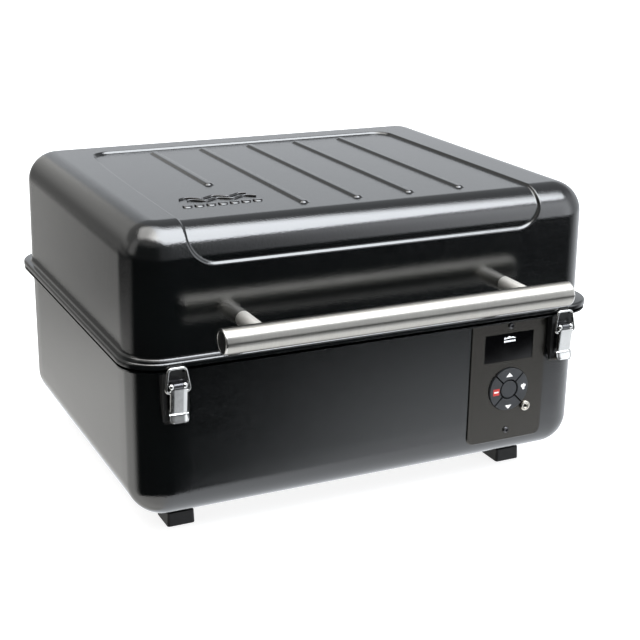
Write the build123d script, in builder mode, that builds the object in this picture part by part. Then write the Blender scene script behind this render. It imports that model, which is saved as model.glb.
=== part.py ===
"""Portable pellet smoker grill: a pressed-steel tub and lid on four rubber feet.

Frame: millimetres, +Z up, origin on the ground under the centre of the bounding box.
The front, with the handle and the control panel, faces -Y.
"""
import os

from build123d import *

os.makedirs("parts", exist_ok=True)

# ---------------------------------------------------------------- driving sizes
SHEET = 1.5                     # steel of the lid and the tub
THIN = 1.2                      # steel of the inner parts
BODY_Y = 18.0                   # the tub's centre, behind the frame's origin
HALF_DEPTH = 254.0              # handle to hinge barrels, each side of the origin

RIM_HX, RIM_HY, RIM_CORNER = 266.5, 215.0, 38.5
LID_HX, LID_HY, LID_CORNER = 258.8, 206.0, 38.0
LID_BASE, LID_TOP, LID_FILLET, LID_DRAFT = 200.0, 328.0, 33.0, 0.7
LIP_BOTTOM = 194.2              # lower edge of the lid's turned-down lip
RECESS_HX, RECESS_BACK, RECESS_FOOT = 190.0, 165.0, 289.0
RECESS_DEPTH, RECESS_CORNER = 2.5, 24.0
RECESS_FLOOR = LID_TOP - RECESS_DEPTH
RIM_EDGE = 2.4                  # rounding of the lid rim's upper edge
RIB_WIDTH, RIB_HEIGHT, RIB_PITCH, RIB_BACK = 9.0, 1.8, 60.0, 150.0
RIB_FRONTS = (-22.0, -129.0, -129.0, -129.0, -129.0)
EXHAUST_SLOTS, EXHAUST_PITCH, EXHAUST_Z = 7, 36.0, 222.0

BODY_HX, BODY_HY, BODY_CORNER, BODY_FILLET = 256.0, 205.0, 36.0, 34.0
BODY_BOTTOM, BODY_RIM_Z, BODY_RIM_T = 29.0, 191.2, 2.0
TUB_FLOOR = BODY_BOTTOM + SHEET
BODY_FRONT = BODY_Y - BODY_HY
BODY_BACK = BODY_Y + BODY_HY

HANDLE_Z, HANDLE_R, HANDLE_HX, HANDLE_CAP_T = 231.0, 12.7, 190.0, 1.5
HANDLE_Y = HANDLE_R - HALF_DEPTH
POST_X, POST_R = 148.0, 8.0
POST_HOLE_R = 3.05              # clearance for the handle's screws
LID_FRONT_AT_HANDLE = BODY_Y - LID_HY + 0.5

PANEL_X0, PANEL_X1, PANEL_Z0, PANEL_Z1, PANEL_T = 111.0, 205.0, 52.0, 189.5, 3.0
PANEL_FRONT = BODY_FRONT - PANEL_T
DISPLAY_X, DISPLAY_Z, DISPLAY_W, DISPLAY_H = 158.0, 159.8, 61.0, 31.5
PAD_X, PAD_Z, PAD_R, PAD_HUB_R, PAD_GAP = 160.0, 111.5, 24.0, 10.3, 1.6
BUTTON_PROUD, BUTTON_T = 2.2, 4.4
JACK_X, JACK_Z, JACK_R, JACK_BODY_R, JACK_BORE_R, JACK_BORE_L = 182.5, 89.0, 6.0, 4.0, 1.75, 12.0
JACK_PROUD = 3.0
PANEL_SCREWS = ((159.0, 183.5), (160.0, 63.5))
PANEL_SCREW_HOLE_R = 2.05
WINDOW_Z, WINDOW_W, WINDOW_H = 123.0, 80.0, 112.0
BOARD_Y, BOARD_W, BOARD_H = -176.0, 74.0, 108.0

LATCH_X, CATCH_Z = 220.0, 193.2
BRACKET_FRONT, BRACKET_W, BRACKET_Z0, BRACKET_Z1 = -196.3, 26.0, 141.0, 190.5
BASE_W, BASE_H, BASE_Z, BASE_T, TONGUE_W = 18.0, 37.0, 164.5, 1.1, 9.0
LEVER_W, LEVER_Z0, LEVER_LIP_Z = 17.0, 142.0, 149.0
LEVER_PIN_Y, LEVER_PIN_Z, LEVER_PIN_R, KNUCKLE_R = -202.2, 178.3, 1.5, 3.0
BAIL_PIN_Z, BAIL_TOP_Z, BAIL_TOP_Y, WIRE_R = 172.3, 195.0, -200.0, 1.3

HINGE_X, HINGE_W, HINGE_Z, HINGE_R, HINGE_PIN_R = 170.0, 44.0, 195.0, 6.0, 2.5
HINGE_Y = HALF_DEPTH - HINGE_R

FOOT_X, FOOT_FRONT_Y, FOOT_BACK_Y = 198.0, -125.0, 161.0
FOOT_W, FOOT_L, FOOT_BLOCK_H = 30.0, 34.0, 15.0
FOOT_SCREW_R, FOOT_HEAD_R = 2.5, 4.5
FEET = [("front_left", -FOOT_X, FOOT_FRONT_Y), ("front_right", FOOT_X, FOOT_FRONT_Y),
        ("rear_left", -FOOT_X, FOOT_BACK_Y), ("rear_right", FOOT_X, FOOT_BACK_Y)]

LINER_X, LINER_HX, LINER_HY, LINER_STEP = -75.0, 175.0, 201.0, 5.0
LINER_FLOOR, LINER_LEDGE, LINER_TOP = 60.0, 168.0, 190.0
LINER_LOW_HX, LINER_LOW_HY = LINER_HX - LINER_STEP, LINER_HY - LINER_STEP
SUPPORT_XS, SUPPORT_LENGTH = (-198.0, 60.0), 260.0
POT_R, POT_BOTTOM, POT_TOP = 45.0, 38.0, 98.0
IGNITER_R, IGNITER_Z, IGNITER_LENGTH = 5.0, 50.0, 64.0
BAFFLE_HX, BAFFLE_L, BAFFLE_Z = 110.0, 290.0, 119.0
TRAY_HX, TRAY_HY, TRAY_Z, TRAY_H = 166.0, 165.0, 132.0, 16.0
DRAIN_X, DRAIN_Y = -215.0, -125.0
GRATE_HX, GRATE_HY, GRATE_RODS = 172.0, 198.0, 23
ROD_PITCH = (2 * GRATE_HX - 20) / (GRATE_RODS + 1)
PROBE_X, PROBE_Z, PROBE_R = -15.0, 152.0, 3.0
AUGER_Z, AUGER_TUBE_R, AUGER_R, AUGER_SHAFT_R, AUGER_PITCH = 81.0, 17.0, 14.6, 4.0, 34.0
AUGER_TUBE_X0, AUGER_TUBE_X1 = -36.0, 205.0
FLIGHT_X0, FLIGHT_LENGTH, FLIGHT_T, FLIGHT_ROOT = -30.0, 204.0, 2.4, 0.8
SHAFT_X0, SHAFT_X1 = -33.0, 224.0
MOTOR_X = AUGER_TUBE_X1 + 12

HOPPER_X0, HOPPER_X1, HOPPER_Y0, HOPPER_Y1 = 120.0, 226.0, -140.0, 200.0
HOPPER_BEND, HOPPER_NECK_Z, NECK_X, NECK_W, NECK_L = 168.0, 100.0, 165.0, 23.0, 69.0
NECK_DROP = 6.5
SEAM = 0.05
HOPPER_X, HOPPER_Y = (HOPPER_X0 + HOPPER_X1) / 2, (HOPPER_Y0 + HOPPER_Y1) / 2
DECK_Z, DECK_X0, DECK_X1 = 188.0, 102.5, 252.0
HOPPER_HINGE_X, HOPPER_HINGE_Z, HOPPER_HINGE_R, HOPPER_PIN_R = 109.0, 193.5, 3.0, 1.5
HOPPER_HINGE_YS = (-100.0, 160.0)
HOPPER_LID_X0, HOPPER_LID_X1 = HOPPER_HINGE_X + 4.5, HOPPER_X1 + 6
HOPPER_LID_X, HOPPER_LID_HX = (HOPPER_LID_X0 + HOPPER_LID_X1) / 2, (HOPPER_LID_X1 - HOPPER_LID_X0) / 2
HOPPER_LID_HY = (HOPPER_Y1 - HOPPER_Y0) / 2 + 6
HOPPER_LID_TOP = DECK_Z + THIN + 7
KNOB_X = HOPPER_LID_X1 - 18

FAN_X, FAN_Y, FAN_R, FAN_Z0, FAN_Z1 = 176.0, 128.0, 42.0, 35.0, 64.0
FAN_WALL, FAN_BLADES, BLADE_MID_R = 2.0, 12, 29.0
DUCT_X, DUCT_Y, DUCT_L, DUCT_W = FAN_X - 42, FAN_Y + 24, 56.0, 34.0
INLET_X, INLET_Z, INLET_W, INLET_H = 190.0, 92.0, 28.0, 20.0
INLET_HOLE_W, INLET_HOLE_H = 34.0, 23.6


STAND = (Align.CENTER, Align.CENTER, Align.MIN)
HANG = (Align.CENTER, Align.CENTER, Align.MAX)


def save(piece, name):
    """Label a finished piece and write it to its own STEP file."""
    piece.part.label = name
    export_step(piece.part, f"parts/{name}.step")


def rounded_block(half_x, half_y, corner, z_low, z_high, y=BODY_Y, x=0.0):
    """Upright block with rounded corners in plan."""
    with BuildPart() as block:
        with BuildSketch(Plane.XY.offset(z_low)):
            with Locations((x, y)):
                RectangleRounded(2 * half_x, 2 * half_y, corner)
        extrude(amount=z_high - z_low)
    return block.part


def lid_dome(inset):
    """The lid's domed volume, with every face moved inwards by inset."""
    with BuildPart() as dome:
        with BuildSketch(Plane.XY.offset(LID_BASE)):
            with Locations((0, BODY_Y)):
                RectangleRounded(2 * (LID_HX - inset), 2 * (LID_HY - inset), LID_CORNER - inset)
        extrude(amount=LID_TOP - inset - LID_BASE, taper=LID_DRAFT)
        fillet(dome.faces().sort_by(Axis.Z)[-1].edges(), LID_FILLET - inset)
    return dome.part


def tub_block(inset):
    """The tub's volume with a rounded bottom edge, every face moved inwards by inset."""
    with BuildPart() as tub:
        add(rounded_block(BODY_HX - inset, BODY_HY - inset, BODY_CORNER - inset,
                          BODY_BOTTOM + inset, BODY_RIM_Z))
        fillet(tub.faces().sort_by(Axis.Z)[0].edges(), BODY_FILLET - inset)
    return tub.part


def recess_mask(grow):
    """Everything above and in front of the lid's sunken panel, widened by grow."""
    half_x = RECESS_HX + grow
    back = RECESS_BACK + grow
    with BuildPart() as mask:
        with BuildSketch(Plane.XY.offset(LID_BASE)) as plan:
            with Locations((0, back - HALF_DEPTH)):
                Rectangle(2 * half_x, 2 * HALF_DEPTH)
            fillet(plan.vertices().group_by(Axis.Y)[-1], RECESS_CORNER + grow)
        extrude(amount=2 * (LID_TOP - LID_BASE))
        with BuildSketch(Plane.XZ.offset(HALF_DEPTH)) as elevation:
            with Locations((0, RECESS_FOOT - grow + HALF_DEPTH)):
                Rectangle(2 * half_x, 2 * HALF_DEPTH)
            fillet(elevation.vertices().group_by(Axis.Y)[0], RECESS_CORNER + grow)
        extrude(amount=-2 * HALF_DEPTH - back, mode=Mode.INTERSECT)
    return mask.part


# ------------------------------------------------------------------------- lid
with BuildPart() as recess_cut:
    add(recess_mask(0))
    add(lid_dome(RECESS_DEPTH), mode=Mode.SUBTRACT)

with BuildPart() as pushed_in_sheet:
    add(recess_mask(SHEET))
    add(lid_dome(RECESS_DEPTH + SHEET), mode=Mode.SUBTRACT)

with BuildPart() as lid_cavity:
    add(lid_dome(SHEET))
    add(pushed_in_sheet.part, mode=Mode.SUBTRACT)

with BuildPart() as lid_shell:
    add(lid_dome(0))
    add(recess_cut.part, mode=Mode.SUBTRACT)
    for column, front in enumerate(RIB_FRONTS):
        with BuildSketch(Plane.XY.offset(RECESS_FLOOR - 0.5)):
            with Locations(((column - 2) * RIB_PITCH, (front + RIB_BACK) / 2)):
                SlotOverall(RIB_BACK - front, RIB_WIDTH, rotation=90)
        extrude(amount=RIB_HEIGHT + 0.5)
        fillet(lid_shell.faces(Select.LAST).sort_by(Axis.Z)[-1].edges(), RIB_HEIGHT * 0.85)
    add(lid_cavity.part, mode=Mode.SUBTRACT)
    with BuildSketch(Plane.XZ.offset(-BODY_BACK - 10)):
        with Locations((0, EXHAUST_Z)):
            with GridLocations(EXHAUST_PITCH, 1, EXHAUST_SLOTS, 1):
                SlotOverall(28, 6)
    extrude(amount=30, mode=Mode.SUBTRACT)
    with Locations(Plane.XZ.offset(HALF_DEPTH)):
        with Locations((-POST_X, HANDLE_Z), (POST_X, HANDLE_Z)):
            Cylinder(POST_HOLE_R, 150, mode=Mode.SUBTRACT)
save(lid_shell, "lid_shell")

with BuildPart() as lid_rim:
    add(rounded_block(RIM_HX, RIM_HY, RIM_CORNER, LIP_BOTTOM, LID_BASE))
    fillet(lid_rim.faces().sort_by(Axis.Z)[-1].edges(), RIM_EDGE)
    add(rounded_block(RIM_HX - SHEET, RIM_HY - SHEET, RIM_CORNER - SHEET, LIP_BOTTOM, LID_BASE - 2 * SHEET),
        mode=Mode.SUBTRACT)
    add(rounded_block(LID_HX - SHEET, LID_HY - SHEET, LID_CORNER - SHEET, LIP_BOTTOM, LID_BASE),
        mode=Mode.SUBTRACT)
save(lid_rim, "lid_rim")

with BuildPart() as handle_bar:
    with BuildSketch(Plane.YZ.offset(-HANDLE_HX)):
        with Locations((HANDLE_Y, HANDLE_Z)):
            Circle(HANDLE_R)
            Circle(HANDLE_R - SHEET, mode=Mode.SUBTRACT)
    extrude(amount=2 * HANDLE_HX)
    with Locations(Plane.XZ.offset(HALF_DEPTH - 1.5 * HANDLE_R)):
        with Locations((-POST_X, HANDLE_Z), (POST_X, HANDLE_Z)):
            Cylinder(POST_HOLE_R, HANDLE_R, mode=Mode.SUBTRACT)
save(handle_bar, "handle_bar")

with BuildPart() as handle_end_caps:
    with BuildSketch(Plane.YZ.offset(HANDLE_HX)):
        with Locations((HANDLE_Y, HANDLE_Z)):
            Circle(HANDLE_R)
    extrude(amount=HANDLE_CAP_T)
    chamfer(handle_end_caps.faces().sort_by(Axis.X)[-1].edges(), 1.0)
    with BuildSketch(Plane.YZ.offset(HANDLE_HX)):
        with Locations((HANDLE_Y, HANDLE_Z)):
            Circle(HANDLE_R - SHEET)
    extrude(amount=-12)
    mirror(about=Plane.YZ)
save(handle_end_caps, "handle_end_caps")

with BuildPart() as handle_posts:
    with BuildSketch(Plane.XZ.offset(-LID_FRONT_AT_HANDLE)):
        with Locations((-POST_X, HANDLE_Z), (POST_X, HANDLE_Z)):
            Circle(POST_R)
    extrude(amount=LID_FRONT_AT_HANDLE - HANDLE_Y)
    add(lid_dome(0), mode=Mode.SUBTRACT)
    with Locations(Location((0, HANDLE_Y, HANDLE_Z), (0, 90, 0))):
        Cylinder(HANDLE_R, 2 * HANDLE_HX, mode=Mode.SUBTRACT)
    with Locations(Plane.XZ.offset(-HANDLE_Y)):
        with Locations((-POST_X, HANDLE_Z), (POST_X, HANDLE_Z)):
            Cylinder(POST_HOLE_R, 150, mode=Mode.SUBTRACT)
save(handle_posts, "handle_posts")

HANDLE_SCREW_HEAD_Y = LID_FRONT_AT_HANDLE + SHEET + 0.2
with BuildPart() as handle_screws:
    with BuildSketch(Plane.XZ.offset(-HANDLE_SCREW_HEAD_Y)):
        with Locations((-POST_X, HANDLE_Z), (POST_X, HANDLE_Z)):
            Circle(6)
    extrude(amount=-2.6)
    with BuildSketch(Plane.XZ.offset(-HANDLE_SCREW_HEAD_Y)):
        with Locations((-POST_X, HANDLE_Z), (POST_X, HANDLE_Z)):
            Circle(3)
    extrude(amount=LID_FRONT_AT_HANDLE - HANDLE_Y - 6)
save(handle_screws, "handle_screws")

with BuildPart() as lid_catches:
    with BuildSketch(Plane.XZ.offset(RIM_HY - BODY_Y)):
        with Locations((-LATCH_X, CATCH_Z), (LATCH_X, CATCH_Z)):
            RectangleRounded(12, 11.6, 2)
    extrude(amount=1.1)
save(lid_catches, "lid_catches")


# ------------------------------------------------------------------- rear hinges
def hinge_leaf(outline, knuckles):
    """One hinge leaf: a strap of the given side outline with its knuckles, for both hinges."""
    with BuildPart() as leaf:
        for side in (-1, 1):
            with BuildSketch(Plane.YZ.offset(side * HINGE_X - HINGE_W / 2)):
                with BuildLine():
                    Polyline(*outline, close=True)
                make_face()
            extrude(amount=HINGE_W)
        for side in (-1, 1):
            for low, high in knuckles:
                with BuildSketch(Plane.YZ.offset(side * HINGE_X + low)):
                    with Locations((HINGE_Y, HINGE_Z)):
                        Circle(HINGE_R)
                extrude(amount=high - low)
            for start, end in knuckle_gaps(knuckles):
                with Locations((side * HINGE_X + (start + end) / 2, HINGE_Y, HINGE_Z)):
                    Cylinder(HINGE_R + 0.4, end - start, rotation=(0, 90, 0), mode=Mode.SUBTRACT)
            with Locations((side * HINGE_X, HINGE_Y, HINGE_Z)):
                Cylinder(HINGE_PIN_R + 0.05, 2 * HINGE_W, rotation=(0, 90, 0), mode=Mode.SUBTRACT)
    return leaf


def knuckle_gaps(knuckles):
    """The stretches of the hinge's width that hold no knuckle of this leaf."""
    edges = [-HINGE_W / 2 - 1] + [edge for knuckle in knuckles for edge in knuckle] + [HINGE_W / 2 + 1]
    return [(start, end) for start, end in zip(edges[::2], edges[1::2]) if end - start > 1]


KNUCKLE = HINGE_W / 6
BODY_KNUCKLES = [(-KNUCKLE + 0.3, KNUCKLE - 0.3)]
LID_KNUCKLES = [(-HINGE_W / 2, -KNUCKLE), (KNUCKLE, HINGE_W / 2)]
STRAP = 2.5
LID_BACK = BODY_Y + LID_HY
BODY_STRAP = [(BODY_BACK, 150), (BODY_BACK + STRAP, 150), (BODY_BACK + STRAP, 185),
              (HINGE_Y, HINGE_Z - HINGE_R), (HINGE_Y, HINGE_Z - HINGE_R + STRAP),
              (BODY_BACK + 9, 188.5), (BODY_BACK, 188.5)]
LID_STRAP = [(LID_BACK - 1, LID_BASE + 0.1), (RIM_HY + BODY_Y + 1.5, LID_BASE + 0.1), (HINGE_Y, HINGE_Z),
             (HINGE_Y, HINGE_Z + HINGE_R), (LID_BACK + STRAP + 1, LID_BASE + 5),
             (LID_BACK + STRAP, LID_BASE + 9), (LID_BACK + STRAP - 0.3, LID_BASE + 40),
             (LID_BACK - 1, LID_BASE + 40)]

body_hinge_leaves = hinge_leaf(BODY_STRAP, BODY_KNUCKLES)
with BuildPart() as trimmed_body_leaves:
    add(body_hinge_leaves.part)
    add(tub_block(0), mode=Mode.SUBTRACT)
save(trimmed_body_leaves, "body_hinge_leaves")

lid_hinge_leaves = hinge_leaf(LID_STRAP, LID_KNUCKLES)
with BuildPart() as trimmed_lid_leaves:
    add(lid_hinge_leaves.part)
    add(lid_dome(0), mode=Mode.SUBTRACT)
save(trimmed_lid_leaves, "lid_hinge_leaves")

with BuildPart() as hinge_pins:
    for side in (-1, 1):
        with Locations((side * HINGE_X, HINGE_Y, HINGE_Z)):
            Cylinder(HINGE_PIN_R, HINGE_W + 2, rotation=(0, 90, 0))
        with Locations((side * HINGE_X - HINGE_W / 2 - 1.5, HINGE_Y, HINGE_Z)):
            Cylinder(HINGE_PIN_R + 1.5, 2, rotation=(0, 90, 0))
save(hinge_pins, "hinge_pins")

# ------------------------------------------------------------------------- tub
with BuildPart() as body_shell:
    add(tub_block(0))
    add(tub_block(SHEET), mode=Mode.SUBTRACT)
    add(rounded_block(BODY_HX - SHEET, BODY_HY - SHEET, BODY_CORNER - SHEET, BODY_RIM_Z - 1, BODY_RIM_Z + 1),
        mode=Mode.SUBTRACT)
    # window behind the control panel, and its screw holes
    with BuildSketch(Plane.XZ.offset(-BODY_FRONT - 5)):
        with Locations((DISPLAY_X, WINDOW_Z)):
            RectangleRounded(WINDOW_W, WINDOW_H, 4)
        with Locations(*PANEL_SCREWS):
            Circle(PANEL_SCREW_HOLE_R)
    extrude(amount=10, mode=Mode.SUBTRACT)
    # power inlet cut-out in the rear wall
    with BuildSketch(Plane.XZ.offset(-BODY_BACK - 5)):
        with Locations((INLET_X, INLET_Z)):
            Rectangle(INLET_HOLE_W, INLET_HOLE_H)
    extrude(amount=10, mode=Mode.SUBTRACT)
    # air intake slots under the fan, and the foot screws' holes
    with BuildSketch(Plane.XY.offset(BODY_BOTTOM - 1)):
        with Locations((FAN_X - 14, FAN_Y - 6)):
            with GridLocations(1, 9, 1, 5):
                SlotOverall(36, 4)
        with Locations(*[(x, y) for _, x, y in FEET]):
            Circle(FOOT_SCREW_R + 0.2)
    extrude(amount=SHEET + 2, mode=Mode.SUBTRACT)
save(body_shell, "body_shell")

with BuildPart() as body_rim:
    add(rounded_block(RIM_HX - 0.5, RIM_HY - 0.5, RIM_CORNER - 0.5, BODY_RIM_Z, BODY_RIM_Z + BODY_RIM_T))
    add(rounded_block(BODY_HX - SHEET, BODY_HY - SHEET, BODY_CORNER - SHEET, BODY_RIM_Z,
                      BODY_RIM_Z + BODY_RIM_T), mode=Mode.SUBTRACT)
save(body_rim, "body_rim")

with BuildPart() as rim_gasket:
    add(rounded_block(RIM_HX - 3, RIM_HY - 3, RIM_CORNER - 3, BODY_RIM_Z + BODY_RIM_T,
                      LID_BASE - 2 * SHEET - 0.2))
    add(rounded_block(BODY_HX + 1, BODY_HY + 1, BODY_CORNER, BODY_RIM_Z, LID_BASE), mode=Mode.SUBTRACT)
save(rim_gasket, "rim_gasket")

for name, x, y in FEET:
    with BuildPart() as foot:
        with BuildSketch():
            with Locations((x, y)):
                RectangleRounded(FOOT_W, FOOT_L, 3)
        extrude(amount=FOOT_BLOCK_H, taper=3)
        fillet(foot.faces().sort_by(Axis.Z)[0].edges(), 1)
        fillet(foot.faces().sort_by(Axis.Z)[-1].edges(), 1)
        with BuildSketch(Plane.XY.offset(FOOT_BLOCK_H - 1)):
            with Locations((x, y + 1)):
                RectangleRounded(FOOT_W - 6, FOOT_L - 7, 3)
        extrude(amount=BODY_BOTTOM - FOOT_BLOCK_H + 1)
        with Locations((x, y, 0)):
            Cylinder(FOOT_HEAD_R + 1, 6, align=STAND, mode=Mode.SUBTRACT)
            Cylinder(FOOT_SCREW_R + 0.05, BODY_BOTTOM, align=STAND, mode=Mode.SUBTRACT)
    save(foot, f"foot_{name}")

with BuildPart() as foot_screws:
    for _, x, y in FEET:
        with Locations((x, y, 3)):
            Cylinder(FOOT_HEAD_R, 3, align=STAND)
            Cylinder(FOOT_SCREW_R, 30, align=STAND)
        with Locations((x, y, BODY_BOTTOM + SHEET)):
            Cylinder(FOOT_HEAD_R, 2, align=STAND)
save(foot_screws, "foot_screws")

# --------------------------------------------------------------- control panel
PANEL_X = (PANEL_X0 + PANEL_X1) / 2
PANEL_Z = (PANEL_Z0 + PANEL_Z1) / 2
with BuildPart() as control_panel:
    with BuildSketch(Plane.XZ.offset(-BODY_FRONT)) as outline:
        with Locations((PANEL_X, PANEL_Z)):
            Rectangle(PANEL_X1 - PANEL_X0, PANEL_Z1 - PANEL_Z0)
        fillet(outline.vertices().group_by(Axis.Y)[0], 9)
    extrude(amount=PANEL_T)
    add(tub_block(0), mode=Mode.SUBTRACT)
    chamfer(control_panel.faces().sort_by(Axis.Y)[0].edges(), 0.6)
    with BuildSketch(Plane.XZ.offset(-BODY_FRONT)):
        with Locations((DISPLAY_X, DISPLAY_Z)):
            Rectangle(DISPLAY_W, DISPLAY_H)
        with Locations((PAD_X, PAD_Z)):
            Circle(PAD_R + 0.6)
        with Locations((JACK_X, JACK_Z)):
            Circle(JACK_BODY_R + 0.05)
        with Locations(*PANEL_SCREWS):
            Circle(PANEL_SCREW_HOLE_R)
    extrude(amount=PANEL_T, mode=Mode.SUBTRACT)
save(control_panel, "control_panel")

with BuildPart() as display_window:
    with BuildSketch(Plane.XZ.offset(-BODY_FRONT)):
        with Locations((DISPLAY_X, DISPLAY_Z)):
            Rectangle(DISPLAY_W - 0.1, DISPLAY_H - 0.1)
    extrude(amount=PANEL_T - 0.7)
save(display_window, "display_window")

with BuildPart() as button_gasket:
    with BuildSketch(Plane.XZ.offset(-BODY_FRONT)):
        with Locations((PAD_X, PAD_Z)):
            Circle(PAD_R + 3)
        with Locations((JACK_X, JACK_Z)):
            Circle(JACK_BODY_R + 0.3, mode=Mode.SUBTRACT)
    extrude(amount=-1.3)
save(button_gasket, "button_gasket")

BUTTON_BACK = PANEL_FRONT - BUTTON_PROUD + BUTTON_T
BUTTON_APEX = PAD_GAP / 2 * 2 ** 0.5
BUTTON_REACH = 2 * PAD_R
with BuildPart() as button_center:
    with BuildSketch(Plane.XZ.offset(-BUTTON_BACK)):
        with Locations((PAD_X, PAD_Z)):
            Circle(PAD_HUB_R - 0.6)
    extrude(amount=BUTTON_T - 0.4)
    fillet(button_center.faces().sort_by(Axis.Y)[0].edges(), 0.6)
save(button_center, "button_center")

for name, direction in (("right", 0), ("up", 90), ("left", 180), ("down", 270)):
    with BuildPart() as button:
        with BuildSketch(Plane.XZ.offset(-BUTTON_BACK)):
            with Locations((PAD_X, PAD_Z)):
                Circle(PAD_R)
                Circle(PAD_HUB_R + PAD_GAP - 0.6, mode=Mode.SUBTRACT)
            with Locations(Location((PAD_X, PAD_Z, 0), (0, 0, direction))):
                Polygon((BUTTON_APEX, 0), (BUTTON_APEX + BUTTON_REACH, BUTTON_REACH),
                        (BUTTON_APEX + BUTTON_REACH, -BUTTON_REACH), align=None, mode=Mode.INTERSECT)
        extrude(amount=BUTTON_T)
        fillet(button.faces().sort_by(Axis.Y)[0].edges(), 0.5)
    save(button, f"button_{name}")

with BuildPart() as probe_jack:
    with Locations(Plane.XZ.offset(-PANEL_FRONT)):
        with Locations((JACK_X, JACK_Z)):
            Cylinder(JACK_R, JACK_PROUD, align=STAND)
            Cylinder(JACK_BODY_R, 11, align=HANG)
    fillet(probe_jack.faces().sort_by(Axis.Y)[0].edges(), 0.8)
    with Locations(Plane.XZ.offset(-PANEL_FRONT + JACK_PROUD)):
        with Locations((JACK_X, JACK_Z)):
            Cylinder(JACK_BORE_R, JACK_BORE_L, align=HANG, mode=Mode.SUBTRACT)
save(probe_jack, "probe_jack")

SCREW_HEAD_T = 1.8
with BuildPart() as panel_screws:
    for x, z in PANEL_SCREWS:
        with Locations(Plane.XZ.offset(-PANEL_FRONT)):
            with Locations((x, z)):
                Cylinder(3.7, SCREW_HEAD_T, align=STAND)
                Cylinder(2, 10, align=HANG)
    fillet(panel_screws.faces().group_by(Axis.Y)[0].edges(), 1.0)
    for x, z in PANEL_SCREWS:
        with Locations(Plane.XZ.offset(-PANEL_FRONT + SCREW_HEAD_T)):
            with Locations((x, z)):
                Box(4, 0.9, 2, mode=Mode.SUBTRACT)
                Box(0.9, 4, 2, mode=Mode.SUBTRACT)
save(panel_screws, "panel_screws")

with BuildPart() as control_board:
    with Locations((DISPLAY_X + 1, BOARD_Y, WINDOW_Z)):
        Box(BOARD_W, 1.6, BOARD_H)
    # screen module in front, relay and supply blocks behind
    with Locations((DISPLAY_X, BOARD_Y - 5, DISPLAY_Z)):
        Box(56, 9, 27)
    with Locations((DISPLAY_X - 18, BOARD_Y + 5, 90)):
        Box(26, 10, 18)
    with Locations((DISPLAY_X + 18, BOARD_Y + 5, 150)):
        Box(18, 9, 12)
save(control_board, "control_board")


# --------------------------------------------------------------------- latches
def latch_bracket(x):
    """Black stand-off that carries a latch out to the rim's front plane."""
    with BuildPart() as bracket:
        with BuildSketch(Plane.YZ.offset(x - BRACKET_W / 2)):
            with BuildLine():
                Polyline((BODY_FRONT + 12, BRACKET_Z1), (BRACKET_FRONT, BRACKET_Z1),
                         (BRACKET_FRONT, BRACKET_Z0),
                         (BRACKET_FRONT + 2.8, BRACKET_Z0), (BODY_FRONT, BRACKET_Z0 + 19),
                         (BODY_FRONT + 12, BRACKET_Z0 + 19), close=True)
            make_face()
        extrude(amount=BRACKET_W)
        with Locations((x, BODY_FRONT + 2, 165)):
            Box(BRACKET_W - 4, 18, 40, mode=Mode.SUBTRACT)
        add(tub_block(0), mode=Mode.SUBTRACT)
    return bracket


def latch_base(x):
    """Riveted base plate with the tongue that holds the lever's pin."""
    with BuildPart() as base:
        with BuildSketch(Plane.XZ.offset(-BRACKET_FRONT)):
            with Locations((x, BASE_Z)):
                RectangleRounded(BASE_W, BASE_H, 2)
        extrude(amount=BASE_T)
        with BuildSketch(Plane.YZ.offset(x - TONGUE_W / 2)):
            with Locations((LEVER_PIN_Y, LEVER_PIN_Z)):
                Circle(KNUCKLE_R)
            with Locations(((LEVER_PIN_Y + BRACKET_FRONT - 0.7) / 2, LEVER_PIN_Z + 0.5)):
                Rectangle(5.2, 3)
        extrude(amount=TONGUE_W)
        with Locations((x, LEVER_PIN_Y, LEVER_PIN_Z)):
            Cylinder(LEVER_PIN_R, 20, rotation=(0, 90, 0), mode=Mode.SUBTRACT)
    return base


def latch_lever(x):
    """Channel-section lever with a turned-out finger lip at its lower end."""
    front = LEVER_PIN_Y - KNUCKLE_R
    with BuildPart() as lever:
        with BuildSketch(Plane.YZ.offset(x - LEVER_W / 2)):
            with BuildLine():
                Polyline((front, LEVER_PIN_Z), (front, LEVER_LIP_Z), (front - 2.6, LEVER_Z0),
                         (front - 1.5, LEVER_Z0 - 0.3), (front + 1.2, LEVER_LIP_Z),
                         (front + 1.2, LEVER_PIN_Z), close=True)
            make_face()
        extrude(amount=LEVER_W)
        for side in (-1, 1):
            with Locations((x + side * (LEVER_W / 2 - 0.6), LEVER_PIN_Y, 164)):
                Box(1.2, 5, 26)
            with Locations((x + side * 6.75, LEVER_PIN_Y, LEVER_PIN_Z)):
                Cylinder(KNUCKLE_R, 3.5, rotation=(0, 90, 0))
        with Locations((x, LEVER_PIN_Y, LEVER_PIN_Z)):
            Cylinder(KNUCKLE_R + 0.4, TONGUE_W + 0.6, rotation=(0, 90, 0), mode=Mode.SUBTRACT)
            Cylinder(LEVER_PIN_R, 20, rotation=(0, 90, 0), mode=Mode.SUBTRACT)
        with Locations((x, LEVER_PIN_Y, BAIL_PIN_Z)):
            Cylinder(WIRE_R + 0.05, 20, rotation=(0, 90, 0), mode=Mode.SUBTRACT)
    return lever


def latch_bail(x):
    """Wire bail whose turned-in ends pivot in the lever's sides."""
    rise = Vector(0, BAIL_TOP_Y - LEVER_PIN_Y, BAIL_TOP_Z - BAIL_PIN_Z)
    plane = Plane(origin=(x, LEVER_PIN_Y, BAIL_PIN_Z), x_dir=(1, 0, 0), z_dir=Vector(1, 0, 0).cross(rise))
    height = rise.length
    with BuildPart() as bail:
        with BuildLine(plane) as wire:
            FilletPolyline((6.4, 0), (12.2, 0), (7.8, height), (-7.8, height), (-12.2, 0), (-6.4, 0),
                           radius=2.6)
        with BuildSketch(Plane(origin=wire.line @ 0, z_dir=wire.line % 0)):
            Circle(WIRE_R)
        sweep()
    return bail


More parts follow.
